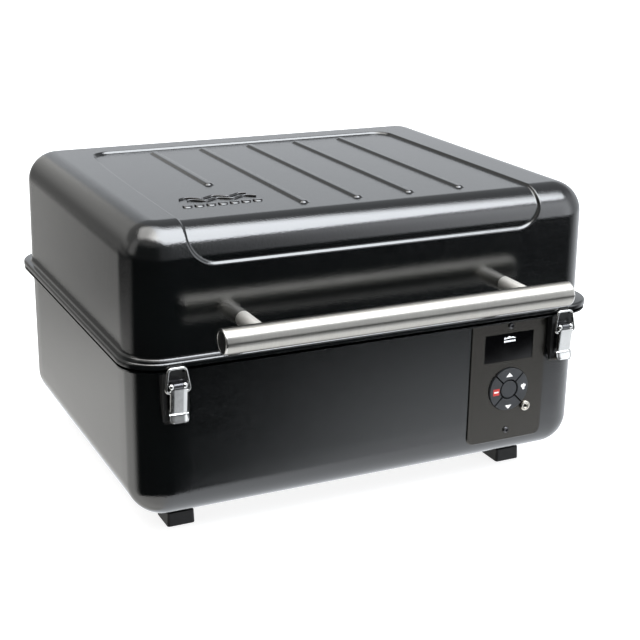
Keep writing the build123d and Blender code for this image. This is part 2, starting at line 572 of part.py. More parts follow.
for name, x in (("left", -LATCH_X), ("right", LATCH_X)):
    save(latch_bracket(x), f"latch_bracket_{name}")
    save(latch_base(x), f"latch_base_{name}")
    save(latch_lever(x), f"latch_lever_{name}")
    save(latch_bail(x), f"latch_bail_{name}")

with BuildPart() as latch_pins:
    for x in (-LATCH_X, LATCH_X):
        with Locations((x, LEVER_PIN_Y, LEVER_PIN_Z)):
            Cylinder(LEVER_PIN_R - 0.05, LEVER_W + 1, rotation=(0, 90, 0))
save(latch_pins, "latch_pins")

# -------------------------------------------------------------- cooking chamber
with BuildPart() as chamber_liner:
    add(rounded_block(LINER_LOW_HX, LINER_LOW_HY, 28, LINER_FLOOR, LINER_LEDGE, x=LINER_X))
    add(rounded_block(LINER_HX, LINER_HY, 33, LINER_LEDGE - THIN, LINER_TOP, x=LINER_X))
    add(rounded_block(LINER_LOW_HX - THIN, LINER_LOW_HY - THIN, 26.8, LINER_FLOOR + THIN, LINER_TOP,
                      x=LINER_X),
        mode=Mode.SUBTRACT)
    add(rounded_block(LINER_HX - THIN, LINER_HY - THIN, 31.8, LINER_LEDGE, LINER_TOP, x=LINER_X),
        mode=Mode.SUBTRACT)
    for side in (-1, 1):
        with Locations((LINER_X + side * (LINER_LOW_HX - THIN - 3.5), BODY_Y, 131)):
            Box(7.4, 300, 2)
    # holes for the fire pot, the auger tube and the temperature probe
    with Locations((LINER_X, BODY_Y, LINER_FLOOR)):
        Cylinder(POT_R + 0.5, 10, mode=Mode.SUBTRACT)
    with Locations((LINER_X + LINER_LOW_HX, BODY_Y, AUGER_Z)):
        Cylinder(AUGER_TUBE_R + 0.3, 20, rotation=(0, 90, 0), mode=Mode.SUBTRACT)
    with Locations((PROBE_X, BODY_Y + LINER_LOW_HY, PROBE_Z)):
        Cylinder(PROBE_R + 0.05, 10, rotation=(90, 0, 0), mode=Mode.SUBTRACT)
save(chamber_liner, "chamber_liner")

with BuildPart() as liner_supports:
    for x in SUPPORT_XS:
        with BuildSketch(Plane.XZ.offset(-BODY_Y - SUPPORT_LENGTH / 2)):
            with BuildLine():
                Polyline((x - 14, TUB_FLOOR), (x + 0.75, TUB_FLOOR), (x + 0.75, LINER_FLOOR - SHEET),
                         (x + 14, LINER_FLOOR - SHEET), (x + 14, LINER_FLOOR), (x - 0.75, LINER_FLOOR),
                         (x - 0.75, TUB_FLOOR + SHEET), (x - 14, TUB_FLOOR + SHEET), close=True)
            make_face()
        extrude(amount=SUPPORT_LENGTH)
save(liner_supports, "liner_supports")

with BuildPart() as fire_pot:
    with Locations((LINER_X, BODY_Y, POT_BOTTOM)):
        Cylinder(POT_R, POT_TOP - POT_BOTTOM, align=STAND)
    with Locations((LINER_X, BODY_Y, LINER_FLOOR + THIN)):
        Cylinder(POT_R + 13, 2, align=STAND)
    with Locations((LINER_X, BODY_Y, POT_BOTTOM + 2)):
        Cylinder(POT_R - 2, POT_TOP, align=STAND, mode=Mode.SUBTRACT)
    # two rows of air holes, the auger's mouth and the igniter's hole
    for z in (46, 54):
        with Locations(Location((LINER_X, BODY_Y, z))):
            with PolarLocations(POT_R, 12, start_angle=15):
                Cylinder(2, 12, rotation=(0, 90, 0), mode=Mode.SUBTRACT)
    with Locations((LINER_X + POT_R, BODY_Y, AUGER_Z)):
        Cylinder(AUGER_TUBE_R + 0.3, 30, rotation=(0, 90, 0), mode=Mode.SUBTRACT)
    with Locations((LINER_X, BODY_Y - POT_R, IGNITER_Z)):
        Cylinder(IGNITER_R + 0.1, 20, rotation=(90, 0, 0), mode=Mode.SUBTRACT)
save(fire_pot, "fire_pot")

with BuildPart() as igniter:
    with Locations((LINER_X, BODY_Y - POT_R - 24, IGNITER_Z)):
        Cylinder(IGNITER_R, IGNITER_LENGTH, rotation=(90, 0, 0))
    # clamp block on a stand that reaches the tub's floor
    with Locations((LINER_X, BODY_Y - POT_R - 50, IGNITER_Z)):
        Box(16, 10, 16)
    with Locations((LINER_X, BODY_Y - POT_R - 50, TUB_FLOOR + 6)):
        Box(16, 10, 12)
save(igniter, "igniter")

with BuildPart() as heat_baffle:
    with Locations((LINER_X, BODY_Y, BAFFLE_Z)):
        Box(2 * BAFFLE_HX, BAFFLE_L, 2)
    for x in (LINER_X - BAFFLE_HX, LINER_X + BAFFLE_HX):
        with Locations((x, BODY_Y, BAFFLE_Z - 5)):
            Box(2, BAFFLE_L, 12)
        # legs down to the liner's floor
        with Locations((x, BODY_Y - 125, LINER_FLOOR + THIN), (x, BODY_Y + 125, LINER_FLOOR + THIN)):
            Box(2, 24, BAFFLE_Z - 2 - LINER_FLOOR - THIN, align=STAND)
save(heat_baffle, "heat_baffle")

with BuildPart() as drip_tray:
    add(rounded_block(TRAY_HX, TRAY_HY, 20, TRAY_Z, TRAY_Z + TRAY_H, x=LINER_X))
    add(rounded_block(TRAY_HX - THIN, TRAY_HY - THIN, 18.8, TRAY_Z + THIN, TRAY_Z + TRAY_H, x=LINER_X),
        mode=Mode.SUBTRACT)
    with Locations((DRAIN_X, DRAIN_Y, TRAY_Z)):
        Cylinder(7, 10, mode=Mode.SUBTRACT)
save(drip_tray, "drip_tray")

with BuildPart() as grease_cup:
    with Locations((DRAIN_X, DRAIN_Y, LINER_FLOOR + THIN)):
        Cylinder(20, 46, align=STAND)
    with Locations((DRAIN_X, DRAIN_Y, LINER_FLOOR + 2 * THIN)):
        Cylinder(20 - THIN, 60, align=STAND, mode=Mode.SUBTRACT)
save(grease_cup, "grease_cup")

with BuildPart() as cooking_grate:
    add(rounded_block(GRATE_HX, GRATE_HY, 30, LINER_LEDGE, LINER_LEDGE + 5, x=LINER_X))
    add(rounded_block(GRATE_HX - 5, GRATE_HY - 5, 25, LINER_LEDGE, LINER_LEDGE + 5, x=LINER_X),
        mode=Mode.SUBTRACT)
    with Locations((LINER_X, BODY_Y, LINER_LEDGE + 4)):
        with GridLocations(ROD_PITCH, 1, GRATE_RODS, 1):
            Box(4, 2 * GRATE_HY - 6, 4)
    with Locations((LINER_X, BODY_Y, LINER_LEDGE + 1.5)):
        with GridLocations(1, 132, 1, 2):
            Box(2 * GRATE_HX - 6, 4, 3)
save(cooking_grate, "cooking_grate")

with BuildPart() as temperature_probe:
    with Locations((PROBE_X, 202, PROBE_Z)):
        Cylinder(PROBE_R, 30, rotation=(90, 0, 0))
    with Locations((PROBE_X, 215.5, PROBE_Z)):
        Cylinder(2 * PROBE_R, 2.6, rotation=(90, 0, 0))
save(temperature_probe, "temperature_probe")

# ----------------------------------------------------------------- pellet feed
with BuildPart() as auger_tube:
    with BuildSketch(Plane.YZ.offset(AUGER_TUBE_X0)):
        with Locations((BODY_Y, AUGER_Z)):
            Circle(AUGER_TUBE_R)
    extrude(amount=AUGER_TUBE_X1 - AUGER_TUBE_X0)
    with BuildSketch(Plane.YZ.offset(AUGER_TUBE_X1)):
        with Locations((BODY_Y, AUGER_Z)):
            Circle(AUGER_TUBE_R + 5)
    extrude(amount=-2.5)
    with BuildSketch(Plane.YZ.offset(AUGER_TUBE_X0)):
        with Locations((BODY_Y, AUGER_Z)):
            Circle(AUGER_TUBE_R - SHEET)
    extrude(amount=AUGER_TUBE_X1 - AUGER_TUBE_X0, mode=Mode.SUBTRACT)
    with Locations((NECK_X, BODY_Y, HOPPER_NECK_Z - NECK_DROP - 0.5)):
        Box(NECK_L + 1, NECK_W + 1, AUGER_TUBE_R, align=STAND, mode=Mode.SUBTRACT)
save(auger_tube, "auger_tube")

FLIGHT_START = Vector(FLIGHT_X0, BODY_Y, AUGER_Z)
FLIGHT_MID_R = (AUGER_R + AUGER_SHAFT_R - FLIGHT_ROOT) / 2
with BuildLine() as flight_path:
    Helix(AUGER_PITCH, FLIGHT_LENGTH, FLIGHT_MID_R, center=FLIGHT_START, direction=(1, 0, 0))
FLIGHT_PLANE = Plane(origin=flight_path.line @ 0, x_dir=flight_path.line @ 0 - FLIGHT_START,
                     z_dir=flight_path.line % 0)
with BuildPart() as auger_screw:
    with BuildSketch(FLIGHT_PLANE):
        Rectangle(AUGER_R - AUGER_SHAFT_R + FLIGHT_ROOT, FLIGHT_T)
    sweep(path=flight_path.line, is_frenet=True)
    with Locations(((SHAFT_X0 + SHAFT_X1) / 2, BODY_Y, AUGER_Z)):
        Cylinder(AUGER_SHAFT_R, SHAFT_X1 - SHAFT_X0, rotation=(0, 90, 0))
save(auger_screw, "auger_screw")

with BuildPart() as auger_motor:
    with Locations((MOTOR_X, BODY_Y, AUGER_Z)):
        Box(24, 56, 50)
    fillet(auger_motor.edges().filter_by(Axis.X), 6)
    with Locations((MOTOR_X, BODY_Y + 28, AUGER_Z - 4)):
        Cylinder(14, 44, rotation=(90, 0, 0), align=HANG)
    with Locations((AUGER_TUBE_X1, BODY_Y, AUGER_Z)):
        Cylinder(AUGER_SHAFT_R + 0.05, 46, rotation=(0, 90, 0), mode=Mode.SUBTRACT)
save(auger_motor, "auger_motor")


def bin_block(inset, bottom):
    """The hopper's upright-sided volume from bottom to the deck, grown outwards by a negative inset."""
    with BuildPart() as volume:
        with Locations((HOPPER_X, HOPPER_Y, bottom)):
            Box(HOPPER_X1 - HOPPER_X0 - 2 * inset, HOPPER_Y1 - HOPPER_Y0 - 2 * inset,
                DECK_Z + THIN - bottom, align=STAND)
    return volume.part


def funnel_taper(inset):
    """The hopper's narrowing volume, grown outwards by a negative inset."""
    with BuildPart() as volume:
        with BuildSketch(Plane.XY.offset(HOPPER_BEND)):
            with Locations((HOPPER_X, HOPPER_Y)):
                Rectangle(HOPPER_X1 - HOPPER_X0 - 2 * inset, HOPPER_Y1 - HOPPER_Y0 - 2 * inset)
        with BuildSketch(Plane.XY.offset(HOPPER_NECK_Z)):
            with Locations((NECK_X, BODY_Y)):
                Rectangle(NECK_L - 2 * inset - 2 * THIN, NECK_W - 2 * inset - 2 * THIN)
        loft()
    return volume.part


def between_cheeks(gap):
    """The space between the funnel's side plates, gap clear of them and reaching past both slopes."""
    with BuildPart() as volume:
        with BuildSketch(Plane.XY.offset(HOPPER_BEND)):
            with Locations((HOPPER_X, HOPPER_Y)):
                Rectangle(HOPPER_X1 - HOPPER_X0 - 2 * gap, 3 * BODY_HY)
        with BuildSketch(Plane.XY.offset(HOPPER_NECK_Z)):
            with Locations((NECK_X, HOPPER_Y)):
                Rectangle(NECK_L - 2 * THIN - 2 * gap, 3 * BODY_HY)
        loft()
    return volume.part


with BuildPart() as hopper:
    add(bin_block(-THIN, HOPPER_BEND))
    add(bin_block(0, HOPPER_BEND - 1), mode=Mode.SUBTRACT)
save(hopper, "hopper")

with BuildPart() as funnel_slopes:
    add(funnel_taper(-THIN))
    add(funnel_taper(0), mode=Mode.SUBTRACT)
    add(between_cheeks(SEAM), mode=Mode.INTERSECT)

with BuildPart() as funnel_cheeks:
    add(funnel_taper(-THIN))
    add(between_cheeks(0), mode=Mode.SUBTRACT)

# the neck's lower edge is saddled over the auger's bore
with BuildPart() as funnel_neck:
    with Locations((NECK_X, BODY_Y, HOPPER_NECK_Z - SEAM)):
        Box(NECK_L, NECK_W, NECK_DROP - SEAM, align=HANG)
        Box(NECK_L - 2 * THIN, NECK_W - 2 * THIN, NECK_DROP, align=HANG, mode=Mode.SUBTRACT)
    with Locations((NECK_X, BODY_Y, AUGER_Z)):
        Cylinder(AUGER_TUBE_R - SHEET, 2 * NECK_L, rotation=(0, 90, 0), mode=Mode.SUBTRACT)

with BuildPart() as hopper_funnel:
    add(funnel_slopes.part)
    add(funnel_cheeks.part)
    add(funnel_neck.part)
save(hopper_funnel, "hopper_funnel")

with BuildPart() as hopper_deck:
    with BuildSketch(Plane.XY.offset(DECK_Z)):
        with Locations(((DECK_X0 + DECK_X1) / 2, BODY_Y)):
            Rectangle(DECK_X1 - DECK_X0, 2 * (BODY_HY - 3))
    extrude(amount=THIN)
    add(rounded_block(BODY_HX - 3, BODY_HY - 3, BODY_CORNER - 4, DECK_Z, DECK_Z + THIN), mode=Mode.INTERSECT)
    add(bin_block(-THIN, HOPPER_BEND), mode=Mode.SUBTRACT)
    for y in HOPPER_HINGE_YS:
        with Locations((HOPPER_HINGE_X, y, HOPPER_HINGE_Z)):
            Cylinder(HOPPER_HINGE_R, 20, rotation=(90, 0, 0))
        with Locations((HOPPER_HINGE_X, y, DECK_Z + 3)):
            Box(HOPPER_HINGE_R, 20, 5)
        with Locations((HOPPER_HINGE_X, y, HOPPER_HINGE_Z)):
            Cylinder(HOPPER_PIN_R + 0.05, 30, rotation=(90, 0, 0), mode=Mode.SUBTRACT)
save(hopper_deck, "hopper_deck")

with BuildPart() as hopper_lid:
    add(rounded_block(HOPPER_LID_HX, HOPPER_LID_HY, 4, DECK_Z + THIN + 0.3, HOPPER_LID_TOP,
                      y=HOPPER_Y, x=HOPPER_LID_X))
    fillet(hopper_lid.faces().sort_by(Axis.Z)[-1].edges(), 1.5)
    add(rounded_block(HOPPER_LID_HX - THIN, HOPPER_LID_HY - THIN, 4 - THIN, DECK_Z, HOPPER_LID_TOP - THIN,
                      y=HOPPER_Y, x=HOPPER_LID_X), mode=Mode.SUBTRACT)
    for hinge_y in HOPPER_HINGE_YS:
        for y in (hinge_y - 15.3, hinge_y + 15.3):
            with Locations((HOPPER_HINGE_X, y, HOPPER_HINGE_Z)):
                Cylinder(HOPPER_HINGE_R, 10, rotation=(90, 0, 0))
            with Locations((HOPPER_HINGE_X + 3.5, y, HOPPER_HINGE_Z + 1)):
                Box(4, 10, 2)
            with Locations((HOPPER_HINGE_X, y, HOPPER_HINGE_Z)):
                Cylinder(HOPPER_PIN_R + 0.05, 12, rotation=(90, 0, 0), mode=Mode.SUBTRACT)
save(hopper_lid, "hopper_lid")

with BuildPart() as hopper_knob:
    with BuildSketch(Plane.XZ.offset(-HOPPER_Y)):
        with BuildLine():
            Polyline((KNOB_X, HOPPER_LID_TOP), (KNOB_X + 5, HOPPER_LID_TOP),
                     (KNOB_X + 5, HOPPER_LID_TOP + 3),
                     (KNOB_X + 9, HOPPER_LID_TOP + 6), (KNOB_X + 9, HOPPER_LID_TOP + 9),
                     (KNOB_X, HOPPER_LID_TOP + 10), close=True)
        make_face()
    revolve(axis=Axis((KNOB_X, HOPPER_Y, 0), (0, 0, 1)))
save(hopper_knob, "hopper_knob")

with BuildPart() as hopper_hinge_pins:
    for y in HOPPER_HINGE_YS:
        with Locations((HOPPER_HINGE_X, y, HOPPER_HINGE_Z)):
            Cylinder(HOPPER_PIN_R, 42, rotation=(90, 0, 0))
save(hopper_hinge_pins, "hopper_hinge_pins")

# --------------------------------------------------------- fan and power inlet
with BuildPart() as fan_housing:
    with Locations((FAN_X, FAN_Y, FAN_Z0)):
        Cylinder(FAN_R, FAN_Z1 - FAN_Z0, align=STAND)
    with Locations((DUCT_X, DUCT_Y, FAN_Z0)):
        Box(DUCT_L, DUCT_W, FAN_Z1 - FAN_Z0, align=STAND)
    with Locations((FAN_X, FAN_Y, FAN_Z0 + FAN_WALL)):
        Cylinder(FAN_R - FAN_WALL, FAN_Z1 - FAN_Z0 - 2 * FAN_WALL, align=STAND, mode=Mode.SUBTRACT)
    with Locations((DUCT_X, DUCT_Y, FAN_Z0 + FAN_WALL)):
        Box(DUCT_L + 4, DUCT_W - 2 * FAN_WALL, FAN_Z1 - FAN_Z0 - 2 * FAN_WALL, align=STAND,
            mode=Mode.SUBTRACT)
    # air inlet below, shaft hole above, two pegs down to the tub's floor
    with Locations((FAN_X, FAN_Y, FAN_Z0)):
        Cylinder(24, 10, mode=Mode.SUBTRACT)
    with Locations((FAN_X, FAN_Y, FAN_Z1)):
        Cylinder(3, 10, mode=Mode.SUBTRACT)
    with Locations((FAN_X - 22, FAN_Y + 30, FAN_Z0), (FAN_X - 22, FAN_Y - 30, FAN_Z0)):
        Cylinder(4, FAN_Z0 - TUB_FLOOR, align=HANG)
save(fan_housing, "fan_housing")

with BuildPart() as fan_impeller:
    with Locations((FAN_X, FAN_Y, FAN_Z1 - 6)):
        Cylinder(34, 1.5)
        Cylinder(8, 12, align=HANG)
    with Locations((FAN_X, FAN_Y, FAN_Z1 - 15)):
        with PolarLocations(BLADE_MID_R, FAN_BLADES):
            Box(9, 1.2, 18, rotation=(0, 0, 25))
    with Locations((FAN_X, FAN_Y, FAN_Z1 - 8)):
        Cylinder(1.5, 14, align=STAND)
save(fan_impeller, "fan_impeller")

with BuildPart() as fan_motor:
    with Locations((FAN_X, FAN_Y, FAN_Z1)):
        Cylinder(20, 22, align=STAND)
    fillet(fan_motor.faces().sort_by(Axis.Z)[-1].edges(), 3)
    with Locations((FAN_X, FAN_Y, FAN_Z1)):
        Cylinder(1.55, 12, align=STAND, mode=Mode.SUBTRACT)
save(fan_motor, "fan_motor")

with BuildPart() as power_inlet:
    with BuildSketch(Plane.XZ.offset(-BODY_BACK)):
        with Locations((INLET_X, INLET_Z)):
            RectangleRounded(50, 26, 4)
    extrude(amount=-2.5)
    with Locations((INLET_X, BODY_BACK - 9, INLET_Z)):
        Box(INLET_W, 18, INLET_H)
    with BuildSketch(Plane.XZ.offset(-BODY_BACK - 2.5)):
        with Locations((INLET_X, INLET_Z)):
            RectangleRounded(INLET_W - 4, INLET_H - 4, 2)
    extrude(amount=17, mode=Mode.SUBTRACT)
    for x, z in ((INLET_X - 7, INLET_Z - 2), (INLET_X + 7, INLET_Z - 2), (INLET_X, INLET_Z + 3)):
        with Locations((x, BODY_BACK - 11.5, z)):
            Box(2, 8, 4)
save(power_inlet, "power_inlet")
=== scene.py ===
"""Looks of a portable pellet smoker grill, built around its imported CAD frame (metres, +Z up, front -Y)."""
import math

import bmesh
import bpy
from mathutils import Matrix, Vector


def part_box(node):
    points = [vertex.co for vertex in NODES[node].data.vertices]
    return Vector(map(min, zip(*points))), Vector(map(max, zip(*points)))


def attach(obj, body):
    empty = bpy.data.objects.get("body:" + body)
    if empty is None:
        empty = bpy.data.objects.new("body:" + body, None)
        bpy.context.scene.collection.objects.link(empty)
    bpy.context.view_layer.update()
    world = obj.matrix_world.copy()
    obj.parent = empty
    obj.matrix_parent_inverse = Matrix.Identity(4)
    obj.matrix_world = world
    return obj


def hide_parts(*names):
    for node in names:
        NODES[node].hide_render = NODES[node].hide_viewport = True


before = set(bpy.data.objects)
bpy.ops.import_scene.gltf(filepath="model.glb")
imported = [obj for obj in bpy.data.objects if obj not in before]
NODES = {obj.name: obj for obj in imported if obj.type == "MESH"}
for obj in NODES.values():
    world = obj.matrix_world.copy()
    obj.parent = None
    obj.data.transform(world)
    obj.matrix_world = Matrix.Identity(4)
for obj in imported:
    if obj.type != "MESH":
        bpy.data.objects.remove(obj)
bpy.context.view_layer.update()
MM = 0.001

# ------------------------------------------------------------------ sizes read from the frame
LID_LOW, LID_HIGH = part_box("lid_shell")
RIM_LOW, RIM_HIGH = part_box("lid_rim")
TUB_LOW, TUB_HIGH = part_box("body_shell")
SEAT_LOW, SEAT_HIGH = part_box("body_rim")
BAR_LOW, BAR_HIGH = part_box("handle_bar")
CAP_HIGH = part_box("handle_end_caps")[1]
PANEL_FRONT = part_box("control_panel")[0][1]
SCREEN_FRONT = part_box("display_window")[0][1]
KEY_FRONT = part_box("button_up")[0][1]
JACK_LOW, JACK_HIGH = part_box("probe_jack")
INLET_LOW, INLET_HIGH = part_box("power_inlet")

MID_Y = (LID_LOW[1] + LID_HIGH[1]) / 2
SHEET = 1.5 * MM
LID_HX, LID_HY, LID_CORNER = LID_HIGH[0], (LID_HIGH[1] - LID_LOW[1]) / 2, 38 * MM
RIM_HX, RIM_HY, RIM_CORNER = RIM_HIGH[0], (RIM_HIGH[1] - RIM_LOW[1]) / 2, 38.5 * MM
LID_BASE, LID_TOP, LIP_BOTTOM = RIM_HIGH[2], LID_HIGH[2], RIM_LOW[2]
LID_FILLET, DRAFT = 33 * MM, math.radians(0.7)
LIP_ROUND, WELD = 2.4 * MM, 2.6 * MM
TUB_HX, TUB_HY, TUB_CORNER, TUB_FILLET = TUB_HIGH[0], (TUB_HIGH[1] - TUB_LOW[1]) / 2, 36 * MM, 34 * MM
TUB_FLOOR, TUB_NECK = TUB_LOW[2], 2.5 * MM
SEAT_HX, SEAT_HY, SEAT_CORNER = SEAT_HIGH[0], (SEAT_HIGH[1] - SEAT_LOW[1]) / 2, 38 * MM
SEAT_Z, SEAT_LEDGE = SEAT_LOW[2], 3 * MM

# the sunken panel of the lid and the ribs on it
RECESS_HX, RECESS_BACK, RECESS_FOOT_Z = 190 * MM, 165 * MM, 289 * MM
RECESS_CORNERS, RECESS_DEPTH, STEP_WIDTH = (28 * MM, 20 * MM), 2.5 * MM, 3.0 * MM
RECESS_FLARE, FLARE_LENGTH = 11 * MM, 90 * MM
RIB_XS = [x * MM for x in (-120, -60, 0, 60, 120)]
RIB_FRONTS = [-26.5 * MM] + [-133.5 * MM] * 4
RIB_BACK, RIB_HALF, RIB_CREST, RIB_HEIGHT = 146 * MM, 6.2 * MM, 2.2 * MM, 2.3 * MM

# slots and cut-outs
EXHAUST_COUNT, EXHAUST_PITCH, EXHAUST_Z, EXHAUST_SLOT = 7, 36 * MM, 222 * MM, (28 * MM, 6 * MM)
INTAKE_COUNT, INTAKE_PITCH, INTAKE_CENTRE, INTAKE_SLOT = 5, 9 * MM, (162 * MM, 122 * MM), (36 * MM, 4 * MM)
INLET_FLANGE_X, INLET_FLANGE_Z = 10.8 * MM, 2.8 * MM
PANEL_HOLE_X, PANEL_HOLE_Z = (118 * MM, 198 * MM), (67 * MM, 179 * MM)
CUT_REACH = 8 * MM


# ------------------------------------------------------------------ materials
def new_material(name, color, roughness, metallic=0.0, **sockets):
    """A Principled material with its constant values on the shader's own sockets."""
    mat = bpy.data.materials.new(name)
    mat.use_nodes = True
    shader = mat.node_tree.nodes["Principled BSDF"]
    shader.inputs["Base Color"].default_value = (*color, 1.0)
    shader.inputs["Roughness"].default_value = roughness
    shader.inputs["Metallic"].default_value = metallic
    for socket, value in sockets.items():
        shader.inputs[socket.replace("_", " ")].default_value = value
    return mat


def add_node(mat, kind, **values):
    """A new node; values set its inputs by name, or its own settings."""
    node = mat.node_tree.nodes.new(kind)
    for key, value in values.items():
        if key in node.inputs:
            node.inputs[key].default_value = value
        else:
            setattr(node, key, value)
    return node


def link(mat, source, output, target, name):
    """Join a node's output to another node's input."""
    mat.node_tree.links.new(source.outputs[output], target.inputs[name])


def object_coords(mat, stretch):
    """Object coordinates in metres, stretched along each axis."""
    coords = add_node(mat, "ShaderNodeTexCoord")
    mapping = add_node(mat, "ShaderNodeMapping")
    mapping.inputs["Scale"].default_value = stretch
    link(mat, coords, "Object", mapping, "Vector")
    return mapping


def grain_bump(mat, scale, distance, detail=2.0, stretch=(1, 1, 1)):
    """A procedural bump on the shader's normal."""
    shader = mat.node_tree.nodes["Principled BSDF"]
    coords = object_coords(mat, stretch)
    texture = add_node(mat, "ShaderNodeTexNoise", Scale=scale, Detail=detail, Roughness=0.5)
    link(mat, coords, "Vector", texture, "Vector")
    bump = add_node(mat, "ShaderNodeBump", Strength=1.0, Distance=distance)
    link(mat, texture, "Fac", bump, "Height")
    link(mat, bump, "Normal", shader, "Normal")


def vary(mat, socket, low, high, scale, stretch=(1, 1, 1)):
    """Let a noise move one shader input between two values or colours."""
    shader = mat.node_tree.nodes["Principled BSDF"]
    coords = object_coords(mat, stretch)
    noise = add_node(mat, "ShaderNodeTexNoise", Scale=scale, Detail=3.0, Roughness=0.6)
    link(mat, coords, "Vector", noise, "Vector")
    ramp = add_node(mat, "ShaderNodeValToRGB")
    low = low if isinstance(low, tuple) else (low,) * 3
    high = high if isinstance(high, tuple) else (high,) * 3
    ramp.color_ramp.elements[0].position = 0.3
    ramp.color_ramp.elements[0].color = (*low, 1)
    ramp.color_ramp.elements[1].position = 0.7
    ramp.color_ramp.elements[1].color = (*high, 1)
    link(mat, noise, "Fac", ramp, "Fac")
    link(mat, ramp, "Color", shader, socket)


def powder_coat(name, color, roughness, grain=1.0, ior=1.8, tint=(1.0, 1.0, 1.0)):
    """Black powder coat: a fine orange-peel grain over a slow mottle."""
    mat = new_material(name, color, roughness, IOR=ior, Specular_Tint=(*tint, 1.0))
    grain_bump(mat, 700, 0.0001 * grain, detail=1.0)
    vary(mat, "Roughness", roughness - 0.01, roughness + 0.015, 60)
    vary(mat, "Base Color", color, tuple(c * 1.2 for c in color), 25)
    return mat


def brushed_steel(name, color, roughness, stretch, lines=0.000004):
    """Steel with very fine brushing lines, drawn out along the axes that stretch shortens."""
    mat = new_material(name, color, roughness, metallic=1.0)
    grain_bump(mat, 1500, lines, stretch=stretch)
    vary(mat, "Roughness", roughness - 0.04, roughness + 0.05, 1200, stretch)
    vary(mat, "Base Color", tuple(c * 0.93 for c in color), color, 900, stretch)
    return mat


def brushed_round(mat, axis):
    """Brushing round an axis: reflections spread along the axis and stay narrow across it."""
    shader = mat.node_tree.nodes["Principled BSDF"]
    tangent = add_node(mat, "ShaderNodeTangent", direction_type="RADIAL", axis=axis)
    link(mat, tangent, "Tangent", shader, "Tangent")
    shader.inputs["Anisotropic"].default_value = 0.95
    shader.inputs["Anisotropic Rotation"].default_value = 0.25


def plain_steel(name, color, roughness):
    """Plated or plain steel with slight unevenness."""
    mat = new_material(name, color, roughness, metallic=1.0)
    vary(mat, "Roughness", roughness - 0.03, roughness + 0.06, 180)
    vary(mat, "Base Color", tuple(c * 0.9 for c in color), color, 90)
    grain_bump(mat, 900, 0.000006)
    return mat


def moulded(name, color, roughness, grain=1.0):
    """Moulded rubber or plastic with a fine spark-eroded texture."""
    mat = new_material(name, color, roughness, IOR=1.45)
    grain_bump(mat, 1500, 0.00002 * grain)
    vary(mat, "Roughness", roughness - 0.05, roughness + 0.05, 120)
    vary(mat, "Base Color", tuple(c * 0.8 for c in color), tuple(c * 1.2 for c in color), 70)
    return mat


COAT = powder_coat("powder_coat", (0.0012, 0.0016, 0.0017), 0.12)
PANEL = powder_coat("panel_black", (0.0035, 0.0033, 0.0028), 0.22, 1.2, 1.75, tint=(1.0, 0.95, 0.86))
DARK_COAT = powder_coat("black_steel", (0.006, 0.006, 0.006), 0.36, grain=0.6, ior=1.5)
BAR = brushed_steel("brushed_stainless", (0.53, 0.515, 0.48), 0.43, (1.0, 0.05, 0.05), 0.0000005)
brushed_round(BAR, "X")
# painted highlight: the posts' steel is set far brighter than the bar's same steel, so the posts read
# brightly lit
POST = brushed_steel("post_stainless_painted_bright", (0.92, 0.90, 0.85), 0.52, (0.2, 1.0, 0.2), 0.000002)
CAP = brushed_steel("cap_steel", (0.20, 0.20, 0.20), 0.30, (0.3, 1.0, 0.3))
CAP_EDGE = plain_steel("cap_edge", (0.66, 0.65, 0.63), 0.2)
BRIGHT = plain_steel("bright_plate", (0.60, 0.60, 0.59), 0.17)
ZINC = plain_steel("zinc_steel", (0.50, 0.51, 0.53), 0.36)
STAINLESS = plain_steel("stainless_plain", (0.45, 0.42, 0.39), 0.38)
SCREW = plain_steel("black_screw", (0.10, 0.10, 0.105), 0.28)
NICKEL = plain_steel("jack_nickel", (0.78, 0.74, 0.66), 0.2)
RUBBER = moulded("foot_rubber", (0.008, 0.008, 0.0085), 0.55)
KEY = moulded("button_rubber", (0.026, 0.028, 0.031), 0.5)
GAP = moulded("gap_black", (0.002, 0.002, 0.002), 0.8)
FIBRE = moulded("gasket_fibre", (0.012, 0.012, 0.012), 0.95, grain=4)
BOARD = moulded("board", (0.012, 0.07, 0.03), 0.5)
PLASTIC = moulded("dark_plastic", (0.012, 0.012, 0.012), 0.45)
CASTING = plain_steel("motor_steel", (0.30, 0.30, 0.31), 0.45)
CHAMBER = powder_coat("chamber_steel", (0.035, 0.034, 0.033), 0.5, grain=0.7, ior=1.5)
ENAMEL = powder_coat("enamel_grate", (0.010, 0.010, 0.011), 0.16, grain=0.3, ior=1.5)
GLASS = new_material("display_glass", (0.001, 0.001, 0.0012), 0.04, IOR=1.5)
grain_bump(GLASS, 30, 0.000002)
vary(GLASS, "Roughness", 0.03, 0.06, 30)
PRINT_WHITE = moulded("print_white", (0.80, 0.80, 0.80), 0.6)
PRINT_RED = moulded("print_red", (0.45, 0.025, 0.02), 0.55)
LIT = moulded("screen_lit", (0.85, 0.87, 0.9), 0.5)
lit_shader = LIT.node_tree.nodes["Principled BSDF"]
lit_shader.inputs["Emission Color"].default_value = (0.9, 0.95, 1.0, 1.0)
lit_shader.inputs["Emission Strength"].default_value = 0.5

